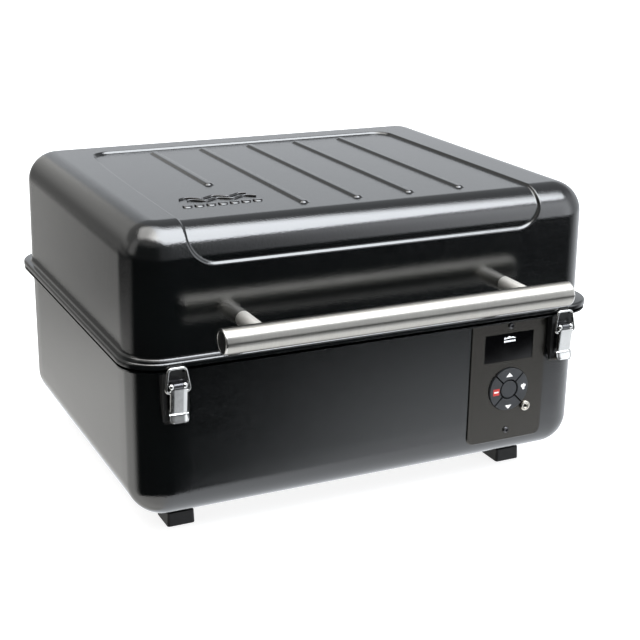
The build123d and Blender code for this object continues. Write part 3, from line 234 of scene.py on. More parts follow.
NODE_MATERIALS = {
    COAT: ("lid_shell", "lid_rim", "body_shell", "body_rim"),
    PANEL: ("control_panel",),
    DARK_COAT: ("latch_bracket_left", "latch_bracket_right", "lid_catches", "body_hinge_leaves",
                "lid_hinge_leaves", "hopper_lid", "hopper_knob"),
    BAR: ("handle_bar",),
    POST: ("handle_posts",),
    CAP: ("handle_end_caps",),
    BRIGHT: ("latch_lever_left", "latch_lever_right", "latch_bail_left", "latch_bail_right", "latch_pins"),
    NICKEL: ("probe_jack",),
    ZINC: ("hinge_pins", "hopper_hinge_pins", "foot_screws", "handle_screws", "liner_supports",
           "auger_tube", "auger_screw", "fan_housing", "hopper", "hopper_funnel", "hopper_deck"),
    STAINLESS: ("fire_pot", "temperature_probe"),
    SCREW: ("panel_screws", "latch_base_left", "latch_base_right"),
    RUBBER: ("foot_front_left", "foot_front_right", "foot_rear_left", "foot_rear_right"),
    KEY: ("button_up", "button_down", "button_left", "button_right", "button_center"),
    GAP: ("button_gasket",),
    FIBRE: ("rim_gasket",),
    GLASS: ("display_window",),
    BOARD: ("control_board",),
    PLASTIC: ("power_inlet", "fan_impeller"),
    CASTING: ("auger_motor", "fan_motor", "igniter"),
    CHAMBER: ("chamber_liner", "heat_baffle", "drip_tray", "grease_cup"),
    ENAMEL: ("cooking_grate",),
}
for mat, names in NODE_MATERIALS.items():
    for name in names:
        NODES[name].data.materials.clear()
        NODES[name].data.materials.append(mat)


# ------------------------------------------------------------------ mesh helpers
def mesh_object(name, verts, faces, mat, merge=0.0, smooth=True):
    """A named mesh object from points and faces, shaded smooth unless told otherwise."""
    mesh = bpy.data.meshes.new(name)
    mesh.from_pydata(verts, [], faces)
    bm = bmesh.new()
    bm.from_mesh(mesh)
    if merge:
        bmesh.ops.remove_doubles(bm, verts=bm.verts, dist=merge)
    bmesh.ops.dissolve_degenerate(bm, dist=1e-7, edges=bm.edges)
    bmesh.ops.recalc_face_normals(bm, faces=bm.faces)
    for face in bm.faces:
        face.smooth = smooth
    bm.to_mesh(mesh)
    bm.free()
    mesh.materials.append(mat)
    obj = bpy.data.objects.new(name, mesh)
    bpy.context.collection.objects.link(obj)
    return obj


def smoothstep(x, low, high):
    """A smooth step from 0 at low to 1 at high."""
    t = min(max((x - low) / (high - low), 0.0), 1.0)
    return t * t * (3 - 2 * t)


def lines(low, high, coarse, *dense):
    """Grid lines from low to high: coarse steps, with (start, end, step) stretches of finer ones."""
    marks = set()
    count = round((high - low) / coarse)
    for i in range(count + 1):
        x = low + (high - low) * i / count
        if not any(a - step < x < b + step for a, b, step in dense) or i in (0, count):
            marks.add(round(x, 6))
    for a, b, step in dense:
        n = max(1, round((b - a) / step))
        marks.update(round(a + (b - a) * i / n, 6) for i in range(n + 1))
    kept = []
    for x in sorted(marks):
        if not kept or x - kept[-1] > 0.0003:
            kept.append(x)
    return kept


CORNER_STEPS = 14


def quarter_turn(steps):
    """Angles from 0 to 90 degrees in equal steps."""
    return [math.pi / 2 * i / steps for i in range(steps + 1)]


def loop_points(half_x, half_y, corner, z, xs, ys):
    """One loop round a rounded rectangle: front, right, back and left sides with their corners."""
    ax, ay = half_x - corner, half_y - corner
    kx, ky = ax / xs[-1], ay / ys[-1]

    def arc(centre_x, centre_y, start):
        angles = [start + turn for turn in quarter_turn(CORNER_STEPS)[1:-1]]
        return [(centre_x + corner * math.cos(a), centre_y + corner * math.sin(a), z) for a in angles]

    points = [(x * kx, MID_Y - half_y, z) for x in xs] + arc(ax, MID_Y - ay, -math.pi / 2)
    points += [(half_x, MID_Y + y * ky, z) for y in ys] + arc(ax, MID_Y + ay, 0.0)
    points += [(x * kx, MID_Y + half_y, z) for x in reversed(xs)] + arc(-ax, MID_Y + ay, math.pi / 2)
    points += [(-half_x, MID_Y + y * ky, z) for y in reversed(ys)] + arc(-ax, MID_Y - ay, math.pi)
    return points


def shell(name, loops, xs, ys, z_middle, mat, press=None):
    """A pressed shell: loops of (half x, half y, corner, z, slope, place on the front) and a flat middle.

    press(x, place) gives how far the front and the middle stand out along their normals.
    """
    verts, faces = [], []
    count = 2 * len(xs) + 2 * len(ys) + 4 * (CORNER_STEPS - 1)
    for half_x, half_y, corner, z, slope, place in loops:
        points = loop_points(half_x, half_y, corner, z, xs, ys)
        if press and place is not None:
            for i in range(len(xs)):
                x, y, height = points[i]
                out = press(x, place)
                points[i] = (x, y - out * math.cos(slope), height + out * math.sin(slope))
        verts += points
    for row in range(len(loops) - 1):
        a, b = row * count, (row + 1) * count
        for i in range(count):
            j = (i + 1) % count
            faces.append((a + i, a + j, b + j, b + i))
    base = len(verts)
    for y in ys:
        for x in xs:
            out = press(x, MID_Y + y) if press else 0.0
            verts.append((x, MID_Y + y, z_middle + out))
    wide = len(xs)
    for r in range(len(ys) - 1):
        for c in range(wide - 1):
            a = base + r * wide + c
            faces.append((a, a + 1, a + wide + 1, a + wide))
    return mesh_object(name, verts, faces, mat, merge=0.00002)


def thicken(obj, thickness):
    """Give a surface a sheet's thickness on its inner side."""
    solid = obj.modifiers.new("sheet", "SOLIDIFY")
    solid.thickness = thickness
    solid.offset = -1.0
    solid.use_even_offset = True
    return obj


def bake(obj):
    """Turn obj's modifiers into plain mesh."""
    bpy.context.view_layer.update()
    graph = bpy.context.evaluated_depsgraph_get()
    done = bpy.data.meshes.new_from_object(obj.evaluated_get(graph))
    obj.modifiers.clear()
    obj.data = done
    return obj


def cut(obj, cutter):
    """Cut a helper mesh out of obj and drop the helper."""
    boolean = obj.modifiers.new("cut", "BOOLEAN")
    boolean.operation = "DIFFERENCE"
    boolean.solver = "EXACT"
    boolean.object = cutter
    bake(obj)
    bpy.data.objects.remove(cutter, do_unlink=True)
    return obj


def from_bmesh(name, bm):
    """A named mesh object holding what bm holds."""
    mesh = bpy.data.meshes.new(name)
    bm.to_mesh(mesh)
    bm.free()
    obj = bpy.data.objects.new(name, mesh)
    bpy.context.collection.objects.link(obj)
    return obj


def box_cutter(name, low, high, mat):
    """A box between two corners; the walls it cuts take its material."""
    bm = bmesh.new()
    bmesh.ops.create_cube(bm, size=1.0)
    size = [h - l for l, h in zip(low, high)]
    centre = [(h + l) / 2 for l, h in zip(low, high)]
    bmesh.ops.scale(bm, vec=size, verts=bm.verts)
    bmesh.ops.translate(bm, vec=centre, verts=bm.verts)
    obj = from_bmesh(name, bm)
    obj.data.materials.append(mat)
    return obj


def sharpen(obj, angle):
    """Smooth shading that keeps edges sharper than angle, in degrees."""
    for poly in obj.data.polygons:
        poly.use_smooth = True
    obj.data.set_sharp_from_angle(angle=math.radians(angle))
    return obj


def turned(name, profile, centre, axis, mat, segments):
    """A solid of revolution: profile of (radius, height along axis) round centre."""
    axis = Vector(axis).normalized()
    side = axis.orthogonal().normalized()
    other = axis.cross(side)
    centre = Vector(centre)
    verts, faces = [], []
    for radius, height in profile:
        for i in range(segments):
            a = 2 * math.pi * i / segments
            verts.append(centre + axis * height + (side * math.cos(a) + other * math.sin(a)) * radius)
    for row in range(len(profile) - 1):
        for i in range(segments):
            j = (i + 1) % segments
            a, b = row * segments, (row + 1) * segments
            faces.append((a + i, a + j, b + j, b + i))
    return sharpen(mesh_object(name, verts, faces, mat, merge=1e-6), 40)


def tube_along(name, path, radius, mat, segments=14):
    """A round wire swept along a path of points, closed at both ends."""
    verts, faces = [], []
    last = len(path) - 1
    normal = None
    for k, point in enumerate(path):
        along = (path[min(k + 1, last)] - path[max(k - 1, 0)]).normalized()
        if normal is None:
            normal = along.orthogonal().normalized()
        normal = (normal - along * normal.dot(along)).normalized()
        cross = along.cross(normal)
        for i in range(segments):
            a = 2 * math.pi * i / segments
            verts.append(point + (normal * math.cos(a) + cross * math.sin(a)) * radius)
    for k in range(last):
        a, b = k * segments, (k + 1) * segments
        for i in range(segments):
            j = (i + 1) % segments
            faces.append((a + i, a + j, b + j, b + i))
    faces.append(tuple(range(segments)))
    faces.append(tuple(last * segments + i for i in range(segments)))
    return mesh_object(name, verts, faces, mat)


def rounded_path(corners, radius, steps=8):
    """Points along straight lines through the corners, with every inner corner rounded."""
    corners = [Vector(c) for c in corners]
    path = [corners[0]]
    for before, corner, after in zip(corners, corners[1:], corners[2:]):
        into = (corner - before).normalized()
        out = (after - corner).normalized()
        turn = math.acos(max(-1, min(1, into.dot(out))))
        back = radius * math.tan(turn / 2)
        start, end = corner - into * back, corner + out * back
        for i in range(steps + 1):
            t = i / steps
            path.append(start * (1 - t) ** 2 + corner * 2 * t * (1 - t) + end * t ** 2)
    path.append(corners[-1])
    return path


# ------------------------------------------------------------------ lid
def outside_rounded(x, y, half_x, half_y, corner):
    """Signed distance to a rounded rectangle about the origin, negative inside."""
    qx, qy = abs(x) - half_x + corner, abs(y) - half_y + corner
    return math.hypot(max(qx, 0), max(qy, 0)) + min(max(qx, qy), 0) - corner


# a place is a distance along the front wall, round the fillet and over the top, which ends in plain y
FILLET_STEPS = 48
FILLET_Z = LID_TOP - LID_FILLET
FILLET_IN = (FILLET_Z - LID_BASE) * math.tan(DRAFT) + LID_FILLET / math.cos(DRAFT)
TOP_EDGE = MID_Y - LID_HY + FILLET_IN
WALL_TOP = FILLET_Z + LID_FILLET * math.sin(DRAFT)
WALL_PLACE = TOP_EDGE - LID_FILLET * (math.pi / 2 - DRAFT)
FOOT_PLACE = WALL_PLACE - (WALL_TOP - RECESS_FOOT_Z)
RECESS_MID = (FOOT_PLACE + RECESS_BACK) / 2
RECESS_HALF = (RECESS_BACK - FOOT_PLACE) / 2


def lid_press(x, place):
    """The lid's pressing: the sunken panel, wider to the left in front, and the ribs on its floor."""
    corner = RECESS_CORNERS[0] if place < RECESS_MID else RECESS_CORNERS[1]
    spread = 1 - math.exp(-max(RECESS_BACK - place, 0) / FLARE_LENGTH)
    flare = RECESS_FLARE * spread if x < 0 else 0.0
    inside = -outside_rounded(x, place - RECESS_MID, RECESS_HX + flare, RECESS_HALF, corner)
    out = -RECESS_DEPTH * smoothstep(inside, -STEP_WIDTH / 2, STEP_WIDTH / 2)
    for rib_x, front in zip(RIB_XS, RIB_FRONTS):
        if abs(x - rib_x) < RIB_HALF:
            along = min(max(place, front), RIB_BACK)
            off = math.hypot(x - rib_x, place - along)
            out += RIB_HEIGHT * (1 - smoothstep(off, RIB_CREST, RIB_HALF))
    return out


# the sheet's points stand closer together where the pressing bends it
LID_CX, LID_CY = LID_HX - LID_CORNER, LID_HY - LID_CORNER
rib_bands = [(x - 7.0 * MM, x + 7.0 * MM, 0.9 * MM) for x in RIB_XS]
edge_bands = [(-205 * MM, -187 * MM, 0.7 * MM), (-186.5 * MM, -170 * MM, 1.1 * MM),
              (161 * MM, 187 * MM, 1.0 * MM), (187.5 * MM, 192.6 * MM, 0.5 * MM)]
LID_XS = lines(-LID_CX, LID_CX, 6 * MM, *rib_bands, *edge_bands)
rib_ends = [(front - 7 * MM - MID_Y, front + 3 * MM - MID_Y, 0.8 * MM) for front in RIB_FRONTS[:2]]
back_ends = [(start - MID_Y, end - MID_Y, step) for start, end, step in
             ((139 * MM, 162 * MM, 1.0 * MM), (162.6 * MM, 167.4 * MM, 0.5 * MM))]
LID_YS = lines(-LID_CY, LID_CY, 6 * MM, *rib_ends, *back_ends)


def lid_loop(inward, z, slope=0.0, place=None):
    """One loop of the lid, inward of its foot."""
    return LID_HX - inward, LID_HY - inward, LID_CORNER - inward, z, slope, place


lid_loops = [(RIM_HX, RIM_HY, RIM_CORNER, LIP_BOTTOM + d, 0, None) for d in (0, 0.4 * MM)]
for a in quarter_turn(6):
    inward = LIP_ROUND * (1 - math.cos(a))
    z = LID_BASE - LIP_ROUND * (1 - math.sin(a))
    lid_loops.append((RIM_HX - inward, RIM_HY - inward, RIM_CORNER - inward, z, 0, None))
for a in quarter_turn(5):
    lid_loops.append(lid_loop(-WELD * (1 - math.sin(a)), LID_BASE + WELD * (1 - math.cos(a))))
for z in lines(LID_BASE + 5 * MM, WALL_TOP, 8 * MM, (284.4 * MM, 295.2 * MM, 0.8 * MM)):
    lid_loops.append(lid_loop((z - LID_BASE) * math.tan(DRAFT), z, DRAFT, WALL_PLACE - WALL_TOP + z))
for i in range(FILLET_STEPS):
    a = DRAFT + (math.pi / 2 - DRAFT) * (i + 1) / FILLET_STEPS
    inward, z = FILLET_IN - LID_FILLET * math.cos(a), FILLET_Z + LID_FILLET * math.sin(a)
    lid_loops.append(lid_loop(inward, z, a, TOP_EDGE - LID_FILLET * (math.pi / 2 - a)))
for inward in (36 * MM, LID_CORNER - 0.01 * MM):
    lid_loops.append(lid_loop(inward, LID_TOP, math.pi / 2, MID_Y - LID_HY + inward))
lid = shell("lid", lid_loops, LID_XS, LID_YS, LID_TOP, COAT, lid_press)
thicken(lid, SHEET)


def slots_cutter(name, places, slot, low, high, axis, steps=24):
    """Rounded slots as one cutter: slot is (length, width), cut from low to high along axis 'y' or 'z'."""
    length, width = slot
    bm = bmesh.new()
    half, radius = length / 2 - width / 2, width / 2
    for px, py, pz in places:
        ring = []
        for i in range(steps):
            a = 2 * math.pi * i / steps
            u = math.cos(a) * radius + (half if math.cos(a) >= 0 else -half)
            ring.append((u, math.sin(a) * radius))
        ends = []
        for depth in (low, high):
            if axis == "y":
                ends.append([bm.verts.new((px + u, depth, pz + w)) for u, w in ring])
            else:
                ends.append([bm.verts.new((px + u, py + w, depth)) for u, w in ring])
        bm.faces.new(ends[0])
        bm.faces.new(list(reversed(ends[1])))
        for i in range(steps):
            j = (i + 1) % steps
            bm.faces.new((ends[0][i], ends[1][i], ends[1][j], ends[0][j]))
    bmesh.ops.recalc_face_normals(bm, faces=bm.faces)
    return from_bmesh(name, bm)


exhaust = [((i - (EXHAUST_COUNT - 1) / 2) * EXHAUST_PITCH, 0, EXHAUST_Z) for i in range(EXHAUST_COUNT)]
BACK = LID_HIGH[1]
cut(lid, slots_cutter("exhaust", exhaust, EXHAUST_SLOT, BACK - CUT_REACH, BACK + CUT_REACH, "y"))
sharpen(lid, 35)
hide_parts("lid_shell", "lid_rim")
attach(lid, "lid")

# ------------------------------------------------------------------ tub
TUB_CX, TUB_CY = TUB_HX - TUB_CORNER, TUB_HY - TUB_CORNER
TUB_XS = lines(-TUB_CX, TUB_CX, 20 * MM)
TUB_YS = lines(-TUB_CY, TUB_CY, 20 * MM)


def tub_loop(inward, z):
    """One loop of the tub, inward of its walls."""
    return TUB_HX - inward, TUB_HY - inward, TUB_CORNER - inward, z, 0, None


tub_loops = [(SEAT_HX, SEAT_HY, SEAT_CORNER, SEAT_Z, 0, None), tub_loop(-SEAT_LEDGE, SEAT_Z)]
for a in quarter_turn(5):
    tub_loops.append(tub_loop(-TUB_NECK * (1 - math.sin(a)), SEAT_Z - TUB_NECK * (1 - math.cos(a))))
for z in lines(TUB_FLOOR + TUB_FILLET, SEAT_Z - 3.5 * MM, 20 * MM)[::-1]:
    tub_loops.append(tub_loop(0.0, z))
for a in quarter_turn(20)[1:]:
    tub_loops.append(tub_loop(TUB_FILLET * (1 - math.cos(a)), TUB_FLOOR + TUB_FILLET * (1 - math.sin(a))))
tub_loops.append((TUB_CX + 0.01 * MM, TUB_CY + 0.01 * MM, 0.01 * MM, TUB_FLOOR, 0, None))
tub = shell("tub", tub_loops, TUB_XS, TUB_YS, TUB_FLOOR, COAT)
thicken(tub, SHEET)
first = -(INTAKE_COUNT - 1) // 2
intake = [(INTAKE_CENTRE[0], INTAKE_CENTRE[1] + (first + i) * INTAKE_PITCH, 0) for i in range(INTAKE_COUNT)]
low, high = TUB_FLOOR - CUT_REACH / 2, TUB_FLOOR + CUT_REACH / 2
cut(tub, slots_cutter("intake", intake, INTAKE_SLOT, low, high, "z"))
low = (INLET_LOW[0] + INLET_FLANGE_X, TUB_HIGH[1] - CUT_REACH, INLET_LOW[2] + INLET_FLANGE_Z)
high = (INLET_HIGH[0] - INLET_FLANGE_X, TUB_HIGH[1] + CUT_REACH, INLET_HIGH[2] - INLET_FLANGE_Z)
cut(tub, box_cutter("inlet_hole", low, high, GAP))
low = (PANEL_HOLE_X[0], TUB_LOW[1] - CUT_REACH, PANEL_HOLE_Z[0])
high = (PANEL_HOLE_X[1], TUB_LOW[1] + CUT_REACH, PANEL_HOLE_Z[1])
cut(tub, box_cutter("panel_hole", low, high, GAP))
sharpen(tub, 35)
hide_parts("body_shell", "body_rim")
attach(tub, "body")

# ------------------------------------------------------------------ embossed sign on the lid
SIGN_Z = LID_TOP - RECESS_DEPTH
WAVES = ((-172 * MM, -100 * MM, -80 * MM), (-166 * MM, -94 * MM, -90 * MM))
WAVE_HEIGHT, WAVE_TURNS, WAVE_STEPS = 3.4 * MM, 2.5, 48
WAVE_STROKE, BLOCK_STROKE = (1.5 * MM, 1.6 * MM), (4.6 * MM, 1.3 * MM)
BLOCK_COUNT, BLOCK_X, BLOCK_Y, BLOCK_PITCH, BLOCK_LENGTH = 7, -178 * MM, -109 * MM, 12.4 * MM, 8.6 * MM


def stroke(name, path, half_width, height, end_width=0.35):
    """A raised stroke with a rounded section, narrowing at both ends."""
    verts, faces = [], []
    section = [(-1, 0), (-0.86, 0.7), (-0.45, 1), (0.45, 1), (0.86, 0.7), (1, 0)]
    for k, point in enumerate(path):
        before, after = path[max(k - 1, 0)], path[min(k + 1, len(path) - 1)]
        along = (after - before).normalized()
        side = Vector((-along.y, along.x, 0))
        taper = end_width + (1 - end_width) * math.sin(math.pi * k / (len(path) - 1)) ** 0.5
        for across, up in section:
            verts.append(point + side * across * half_width * taper + Vector((0, 0, up * height)))
    wide = len(section)
    for k in range(len(path) - 1):
        for i in range(wide - 1):
            a = k * wide + i
            faces.append((a, a + 1, a + wide + 1, a + wide))
    return mesh_object(name, verts, faces, COAT)


strokes = []
for row, (x0, x1, y) in enumerate(WAVES):
    path = []
    for k in range(WAVE_STEPS + 1):
        t = k / WAVE_STEPS
        rise = WAVE_HEIGHT * math.sin(2 * math.pi * WAVE_TURNS * t + row)
        path.append(Vector((x0 + (x1 - x0) * t, y + rise, SIGN_Z)))
    strokes.append(stroke(f"sign_wave_{row}", path, *WAVE_STROKE))
for k in range(BLOCK_COUNT):
    path = [Vector((BLOCK_X + BLOCK_PITCH * k + BLOCK_LENGTH * i / 12, BLOCK_Y, SIGN_Z)) for i in range(13)]
    strokes.append(stroke(f"sign_pellet_{k}", path, *BLOCK_STROKE, end_width=0.6))
for piece in strokes:
    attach(piece, "lid")

# ------------------------------------------------------------------ handle
BAR_R = (BAR_HIGH[2] - BAR_LOW[2]) / 2
BAR_Y, BAR_Z = (BAR_LOW[1] + BAR_HIGH[1]) / 2, (BAR_LOW[2] + BAR_HIGH[2]) / 2
BAR_END = BAR_HIGH[0]
end_round = [(SHEET, 0.1 * MM), (0.5 * MM, 0.0), (0.1 * MM, 0.15 * MM), (0.0, 0.6 * MM)]
bar_profile = [(BAR_R - inward, back - BAR_END) for inward, back in end_round]
bar_profile += [(BAR_R, (BAR_END - 0.6 * MM) * (i / 10 - 1)) for i in range(1, 20)]
bar_profile += [(BAR_R - inward, BAR_END - back) for inward, back in reversed(end_round)]
bar = turned("handle_tube", bar_profile, (0, BAR_Y, BAR_Z), (1, 0, 0), BAR, segments=128)
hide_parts("handle_bar")
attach(bar, "lid")
for side in (-1, 1):
    end, out = (side * BAR_END, BAR_Y, BAR_Z), side * (CAP_HIGH[0] - BAR_END)
    disc_profile = [(0.0, out * 0.72), (BAR_R - 3.1 * MM, out * 0.72), (BAR_R - 2.7 * MM, out * 0.8)]
    disc = turned(f"handle_cap_{side}", disc_profile, end, (1, 0, 0), CAP, segments=96)
    edge_profile = [(BAR_R - 2.7 * MM, out * 0.8), (BAR_R - 2.2 * MM, out), (BAR_R - 1.3 * MM, out * 0.98),
                    (BAR_R - 0.5 * MM, out * 0.75), (BAR_R - 0.15 * MM, out * 0.4),
                    (BAR_R - 0.1 * MM, -out * 0.1)]
    edge = turned(f"handle_cap_edge_{side}", edge_profile, end, (1, 0, 0), CAP_EDGE, segments=96)
    for piece in (disc, edge):
        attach(piece, "lid")
    if side == -1:
        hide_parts("handle_end_caps")

# ------------------------------------------------------------------ latches
PIN_Y, PIN_Z, BAIL_Z = -202.2 * MM, 178.3 * MM, 172.3 * MM
LEVER_TOP, LEVER_BEND, LEVER_TIP = 175.6 * MM, 151.0 * MM, 142.05 * MM
LEVER_LEAN, LIP_OUT = 2.4 * MM, 3.4 * MM
LEVER_FRONT, LEVER_DEPTH, TIP_ROUND, TIP_SHRINK = PIN_Y - 3 * MM, 4.6 * MM, 4 * MM, 3.6 * MM
BAIL_LEG, BAIL_FOOT, BAIL_HEAD, BAIL_RISE, BAIL_LEAN = 6.2 * MM, 12.4 * MM, 8.6 * MM, 22.9 * MM, 2.2 * MM
EYE_OFFSET, BASE_FRONT, RIVET_ZS = 6.7 * MM, -197.4 * MM, (150, 157)


def lever_channel(name, x, width):
    """A latch lever: leaning front plate with side flanges, and a bent tip with rounded corners."""
    rows = [(LEVER_TOP - (LEVER_TOP - LEVER_BEND) * i / 6, LEVER_LEAN * i / 6) for i in range(7)]
    for t in (0.06, 0.12, 0.2, 0.35, 0.5, 0.62, 0.74, 0.84, 0.92, 0.97, 1.0):
        bulge = 0.5 * MM * math.sin(math.pi * min(t * 4, 1))
        rows.append((LEVER_BEND - (LEVER_BEND - LEVER_TIP) * t, LEVER_LEAN - bulge - LIP_OUT * t))
    verts, faces = [], []
    for z, back in rows:
        into_tip = max(LEVER_TIP + TIP_ROUND - z, 0.0) / TIP_ROUND
        w = width / 2 - TIP_SHRINK * (1 - math.sqrt(max(0.0, 1 - into_tip * into_tip)))
        flange = smoothstep(z, 149.8 * MM, 152.5 * MM)
        deep, y = flange * (LEVER_DEPTH - back), LEVER_FRONT + back
        half = [(w, y + deep), (w, y + (0.9 + 0.6 * flange) * MM), (w - 0.25 * MM, y + 0.28 * MM),
                (w - 0.9 * MM, y), (w * 0.5, y)]
        section = [(-across, dy) for across, dy in half] + [(0, y)] + half[::-1]
        verts += [(x + dx, dy, z) for dx, dy in section]
    wide = len(section)
    for r in range(len(rows) - 1):
        for c in range(wide - 1):
            a = r * wide + c
            faces.append((a, a + 1, a + wide + 1, a + wide))
    return sharpen(bake(thicken(mesh_object(name, verts, faces, BRIGHT), 0.9 * MM)), 28)


def bail_wire(name, x):
    """A latch bail: wire from one side of the lever up over the lid's catch and back."""
    foot, head = (PIN_Y, BAIL_Z), (PIN_Y + BAIL_LEAN, BAIL_Z + BAIL_RISE)
    half = [(BAIL_LEG, *foot), (BAIL_FOOT, *foot), (BAIL_HEAD, *head)]
    corners = [(x + across, y, z) for across, y, z in half]
    corners += [(x - across, y, z) for across, y, z in reversed(half)]
    return tube_along(name, rounded_path(corners, 4.2 * MM), 1.42 * MM, BRIGHT)


EYE = [(1.5 * MM, -1.7 * MM), (2.7 * MM, -1.7 * MM), (3.0 * MM, -1.3 * MM), (3.0 * MM, 1.3 * MM),
       (2.7 * MM, 1.7 * MM), (1.5 * MM, 1.7 * MM)]
ROLLER = [(0.0, -4.2 * MM), (2.2 * MM, -4.2 * MM), (2.6 * MM, -3.8 * MM), (2.6 * MM, 3.8 * MM),
          (2.2 * MM, 4.2 * MM), (0.0, 4.2 * MM)]
RIVET = [(0.0, 0.9 * MM), (1.2 * MM, 0.75 * MM), (1.9 * MM, 0.3 * MM), (2.1 * MM, 0.0)]
for side in ("left", "right"):
    low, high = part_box(f"latch_lever_{side}")
    x = (low[0] + high[0]) / 2
    lever = lever_channel(f"lever_{side}", x, high[0] - low[0])
    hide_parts(f"latch_lever_{side}")
    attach(lever, f"lever_{side}")
    for k in (-1, 1):
        place = (x + k * EYE_OFFSET, PIN_Y, PIN_Z)
        eye = turned(f"lever_eye_{side}_{k}", EYE, place, (1, 0, 0), BRIGHT, 40)
        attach(eye, f"lever_{side}")
    roller = turned(f"latch_roller_{side}", ROLLER, (x, PIN_Y, PIN_Z), (1, 0, 0), SCREW, 40)
    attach(roller, "body")
    bail = bail_wire(f"bail_{side}", x)
    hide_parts(f"latch_bail_{side}")
    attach(bail, f"bail_{side}")
    for z in RIVET_ZS:
        rivet = turned(f"rivet_{side}_{z}", RIVET, (x, BASE_FRONT, z * MM), (0, -1, 0), SCREW, 24)
        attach(rivet, "body")


# ------------------------------------------------------------------ control panel details
def plate(name, outline, y, mat, thickness=0.12 * MM):
    """A thin printed shape in the panel's plane: outline of (x, z) points in millimetres."""
    verts = [(px * MM, depth, pz * MM) for depth in (y, y - thickness) for px, pz in outline]
    n = len(outline)
    faces = [tuple(range(n)), tuple(range(2 * n - 1, n - 1, -1))]
    faces += [(i, (i + 1) % n, n + (i + 1) % n, n + i) for i in range(n)]
    return mesh_object(name, verts, faces, mat, smooth=False)


def rectangle(x0, z0, x1, z1):
    """The outline between two corners."""
    return (x0, z0), (x1, z0), (x1, z1), (x0, z1)


UP_ARROW = (155.3, 126.1), (163.7, 126.1), (159.5, 130.6)
DOWN_ARROW = (155.8, 93.4), (159.9, 89.0), (164.1, 93.4)
FLAME = ((174.9, 113.2), (176.1, 115.4), (177.2, 114.6), (178.6, 116.3), (179.6, 114.4), (181.1, 114.8),
         (180.6, 112.4), (179.0, 111.6), (179.9, 109.9), (178.2, 108.6), (176.9, 109.8), (177.6, 111.3),
         (175.7, 111.5))
ICONS = (("icon_up", "key_up", UP_ARROW, 0.0, PRINT_WHITE),
         ("icon_down", "key_down", DOWN_ARROW, 0.0, PRINT_WHITE),
         ("icon_left", "key_left", rectangle(139.9, 106.6, 147.6, 114.0), 0.0, PRINT_RED),
         ("icon_left_bar", "key_left", rectangle(141.0, 109.6, 146.4, 111.2), 0.1 * MM, PRINT_WHITE),
         ("icon_right", "key_right", FLAME, 0.0, PRINT_WHITE))
for name, body, outline, raised, mat in ICONS:
    icon = plate(name, outline, KEY_FRONT - raised, mat)
    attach(icon, body)

# generic picture on the screen: a low ridge line over a short row of bars
RIDGE = ((151.4, 168.6), (152.6, 171.4), (153.6, 169.7), (155.6, 170.4), (157.8, 171.9), (160.2, 170.6),
         (162.8, 170.9), (166.4, 169.0), (160.0, 169.4), (155.0, 169.0))
BAR_STARTS = [151.8 + 2.5 * k for k in range(6)]
for k, outline in enumerate([RIDGE] + [rectangle(start, 165.2, start + 1.7, 167.2) for start in BAR_STARTS]):
    mark = plate(f"screen_mark_{k}", outline, SCREEN_FRONT, LIT, thickness=0.03 * MM)
    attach(mark, "body")

JACK_X, JACK_Z = (JACK_LOW[0] + JACK_HIGH[0]) / 2, (JACK_LOW[2] + JACK_HIGH[2]) / 2
jack_profile = [(1.75 * MM, -11 * MM), (1.75 * MM, 2.2 * MM), (2.1 * MM, 2.45 * MM), (3.0 * MM, 2.3 * MM),
                (3.2 * MM, 2.8 * MM), (4.6 * MM, 3.0 * MM), (5.2 * MM, 2.8 * MM), (5.55 * MM, 2.3 * MM),
                (5.6 * MM, 0.0)]
jack = turned("jack", jack_profile, (JACK_X, PANEL_FRONT, JACK_Z), (0, -1, 0), NICKEL, 48)
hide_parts("probe_jack")
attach(jack, "body")

SCREW_PLACES = ((159.0 * MM, 183.5 * MM), (160.0 * MM, 63.5 * MM))
SCREW_HEAD = [(0.0, 0.55 * MM), (1.35 * MM, 0.55 * MM), (1.45 * MM, 1.5 * MM), (2.4 * MM, 1.75 * MM),
              (3.2 * MM, 1.3 * MM), (3.65 * MM, 0.5 * MM), (3.7 * MM, 0.0)]
heads = []
for k, (x, z) in enumerate(SCREW_PLACES):
    heads.append(turned(f"panel_screw_{k}", SCREW_HEAD, (x, PANEL_FRONT, z), (0, -1, 0), SCREW, 40))
    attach(heads[k], "body")
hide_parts("panel_screws")

# ------------------------------------------------------------------ stage
bpy.ops.mesh.primitive_plane_add(size=14, location=(0, 1, 0))
floor = bpy.context.object
floor.name = "floor"
FLOOR = new_material("floor", (0.5, 0.5, 0.5), 0.9)
floor_shader = FLOOR.node_tree.nodes["Principled BSDF"]
floor_shader.inputs["Specular IOR Level"].default_value = 0.0
floor_shader.inputs["Emission Color"].default_value = (1, 1, 1, 1)
floor_shader.inputs["Emission Strength"].default_value = 0.85
vary(FLOOR, "Base Color", (0.49, 0.49, 0.49), (0.51, 0.51, 0.51), 0.8)
floor.data.materials.append(FLOOR)
floor.visible_glossy = False


# ------------------------------------------------------------------ studio surroundings
world = bpy.data.worlds.new("studio")
bpy.context.scene.world = world
world.use_nodes = True
tree = world.node_tree
tree.nodes.clear()


def world_math(operation, *operands):
    """The output of a math node on numbers and other outputs."""
    node = tree.nodes.new("ShaderNodeMath")
    node.operation = operation
    for index, operand in enumerate(operands):
        if isinstance(operand, (int, float)):
            node.inputs[index].default_value = operand
        else:
            tree.links.new(operand, node.inputs[index])
    return node.outputs[0]


def world_step(value, low, high):
    """A smooth step from 0 where value is low to 1 where it is high; low may be above high."""
    node = tree.nodes.new("ShaderNodeMapRange")
    node.interpolation_type = "SMOOTHSTEP"
    node.inputs["From Min"].default_value = min(low, high)
    node.inputs["From Max"].default_value = max(low, high)
    tree.links.new(value, node.inputs["Value"])
    out = node.outputs["Result"]
    return out if low < high else world_math("SUBTRACT", 1.0, out)


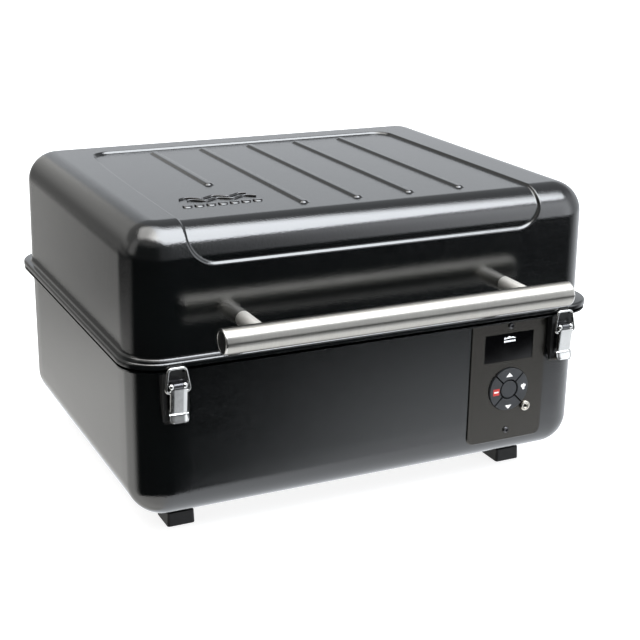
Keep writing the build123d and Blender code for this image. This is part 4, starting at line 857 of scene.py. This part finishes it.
def product(*factors):
    """All factors multiplied together."""
    total = factors[0]
    for factor in factors[1:]:
        total = world_math("MULTIPLY", total, factor)
    return total


# the direction looked in: el is its height above level, az its bearing from the front (-Y) towards +X
DEGREES = 180 / math.pi
coords = tree.nodes.new("ShaderNodeTexCoord")
split = tree.nodes.new("ShaderNodeSeparateXYZ")
tree.links.new(coords.outputs["Generated"], split.inputs[0])
to_x, to_y, to_z = (split.outputs[axis] for axis in "XYZ")
el = product(world_math("ARCSINE", to_z), DEGREES)
az = product(world_math("ARCTAN2", to_x, product(to_y, -1.0)), DEGREES)

# dark gap above the bright floor; in front its lower edge climbs to the right
edge_line = world_math("ADD", world_math("MULTIPLY", az, 0.43), -34.9)
steep_line = world_math("ADD", world_math("MULTIPLY", az, 1.7), -69.5)
edge_line = world_math("MINIMUM", world_math("MINIMUM", edge_line, steep_line), -19.5)
above_edge = world_step(world_math("SUBTRACT", el, world_math("MAXIMUM", edge_line, -40.0)), -0.4, 0.4)
front_gap = product(above_edge, world_step(az, -120.0, -92.0), world_step(az, 105.0, 50.0))
left_gap = product(world_step(el, -21.5, -16.5), world_step(az, -174.0, -157.0), world_step(az, 42.0, 32.0))
gap = world_math("MAXIMUM", front_gap, product(left_gap, 0.93))
bright_floor = world_math("SUBTRACT", 1.38, product(0.42, world_step(az, -110.0, -150.0)))
floor_glow = product(bright_floor, world_math("SUBTRACT", 1.0, product(gap, 0.99)))

# the room: dark from the front round to a narrow card at the left side, brightest in front on the right,
# softer behind, and dim overhead
front_room = world_math("ADD", 0.05, product(0.2, world_step(az, -20.0, 5.0)))
front_room = world_math("ADD", front_room, product(2.1, world_step(az, 17.0, 42.0)))
front_room = world_math("SUBTRACT", front_room, product(1.4, world_step(az, 45.0, 75.0)))
left_room = world_math("ADD", 0.28, product(0.45, world_step(el, 0.0, 18.0)))
left_room = world_math("ADD", left_room, product(0.5, world_step(az, -166.0, -180.0)))
is_left = world_step(az, -100.0, -125.0)
side_card = product(0.8, world_step(az, -114.0, -102.0), world_step(az, -78.0, -94.0),
                    world_step(el, -3.0, 8.0))
front_walls = product(front_room, world_math("SUBTRACT", 1.0, is_left))
walls = world_math("ADD", front_walls, product(left_room, is_left))
is_back = world_math("MAXIMUM", world_step(az, 75.0, 110.0), is_left)
ceiling = world_math("MAXIMUM", world_step(el, 31.0, 45.0), product(is_back, world_step(el, 17.5, 25.0)))
room = world_math("ADD", product(walls, world_math("SUBTRACT", 1.0, ceiling)), product(0.42, ceiling))
room = world_math("ADD", room, product(side_card, world_step(el, 48.0, 32.0)))
is_up = world_step(el, -10.5, -5.0)
level = world_math("ADD", product(room, is_up), product(floor_glow, world_math("SUBTRACT", 1.0, is_up)))

# one long soft light overhead, set askew; directions are laid out on a level plane one unit up
LIGHT_LEVEL, LIGHT_X, LIGHT_Y = 9.0, 0.21, -0.35
height = world_math("MAXIMUM", to_z, 0.15)
from_x = world_math("SUBTRACT", world_math("DIVIDE", to_x, height), LIGHT_X)
from_y = world_math("SUBTRACT", world_math("DIVIDE", to_y, height), LIGHT_Y)
along = product(math.sqrt(0.5), world_math("SUBTRACT", from_x, from_y))
across = product(math.sqrt(0.5), world_math("ADD", from_x, from_y))
dimmer_end = world_math("ADD", 0.35, product(0.65, world_step(along, -0.75, -0.1)))
glow = product(LIGHT_LEVEL, world_step(world_math("ABSOLUTE", across), 0.62, 0.30),
               world_step(along, 0.80, 0.62), world_step(along, -1.35, -1.0), dimmer_end)
level = world_math("ADD", level, product(glow, world_step(to_z, 0.16, 0.3)))

# the light is a little warmer on the left and cooler on the right
WARM, COOL = (1.0, 0.995, 0.97, 1), (0.95, 0.985, 1.03, 1)
background = tree.nodes.new("ShaderNodeBackground")
tint = tree.nodes.new("ShaderNodeMix")
tint.data_type = "RGBA"
tint.inputs[6].default_value = WARM
tint.inputs[7].default_value = COOL
tree.links.new(world_step(az, -40.0, 20.0), tint.inputs[0])
tree.links.new(tint.outputs[2], background.inputs["Color"])
tree.links.new(level, background.inputs["Strength"])
output = tree.nodes.new("ShaderNodeOutputWorld")
tree.links.new(background.outputs[0], output.inputs["Surface"])

# ------------------------------------------------------------------ camera
YAW, PITCH, ROLL = 0.452, 0.325, 0.016
CAMERA_AT = (-0.6111, -1.3104, 0.6395)
LENS, SENSOR = 75.11, 36.0
forward = Vector((math.sin(YAW) * math.cos(PITCH), math.cos(YAW) * math.cos(PITCH), -math.sin(PITCH)))
level_right = Vector((math.cos(YAW), -math.sin(YAW), 0))
level_up = level_right.cross(forward)
right = math.cos(ROLL) * level_right + math.sin(ROLL) * level_up
up = -math.sin(ROLL) * level_right + math.cos(ROLL) * level_up
cam_data = bpy.data.cameras.new("camera")
cam_data.sensor_width = SENSOR
cam_data.lens = LENS
cam = bpy.data.objects.new("camera", cam_data)
turn = Matrix((right, up, -forward)).transposed().to_4x4()
cam.matrix_world = Matrix.Translation(CAMERA_AT) @ turn
bpy.context.collection.objects.link(cam)
bpy.context.scene.camera = cam
bpy.context.scene.view_settings.view_transform = "Standard"
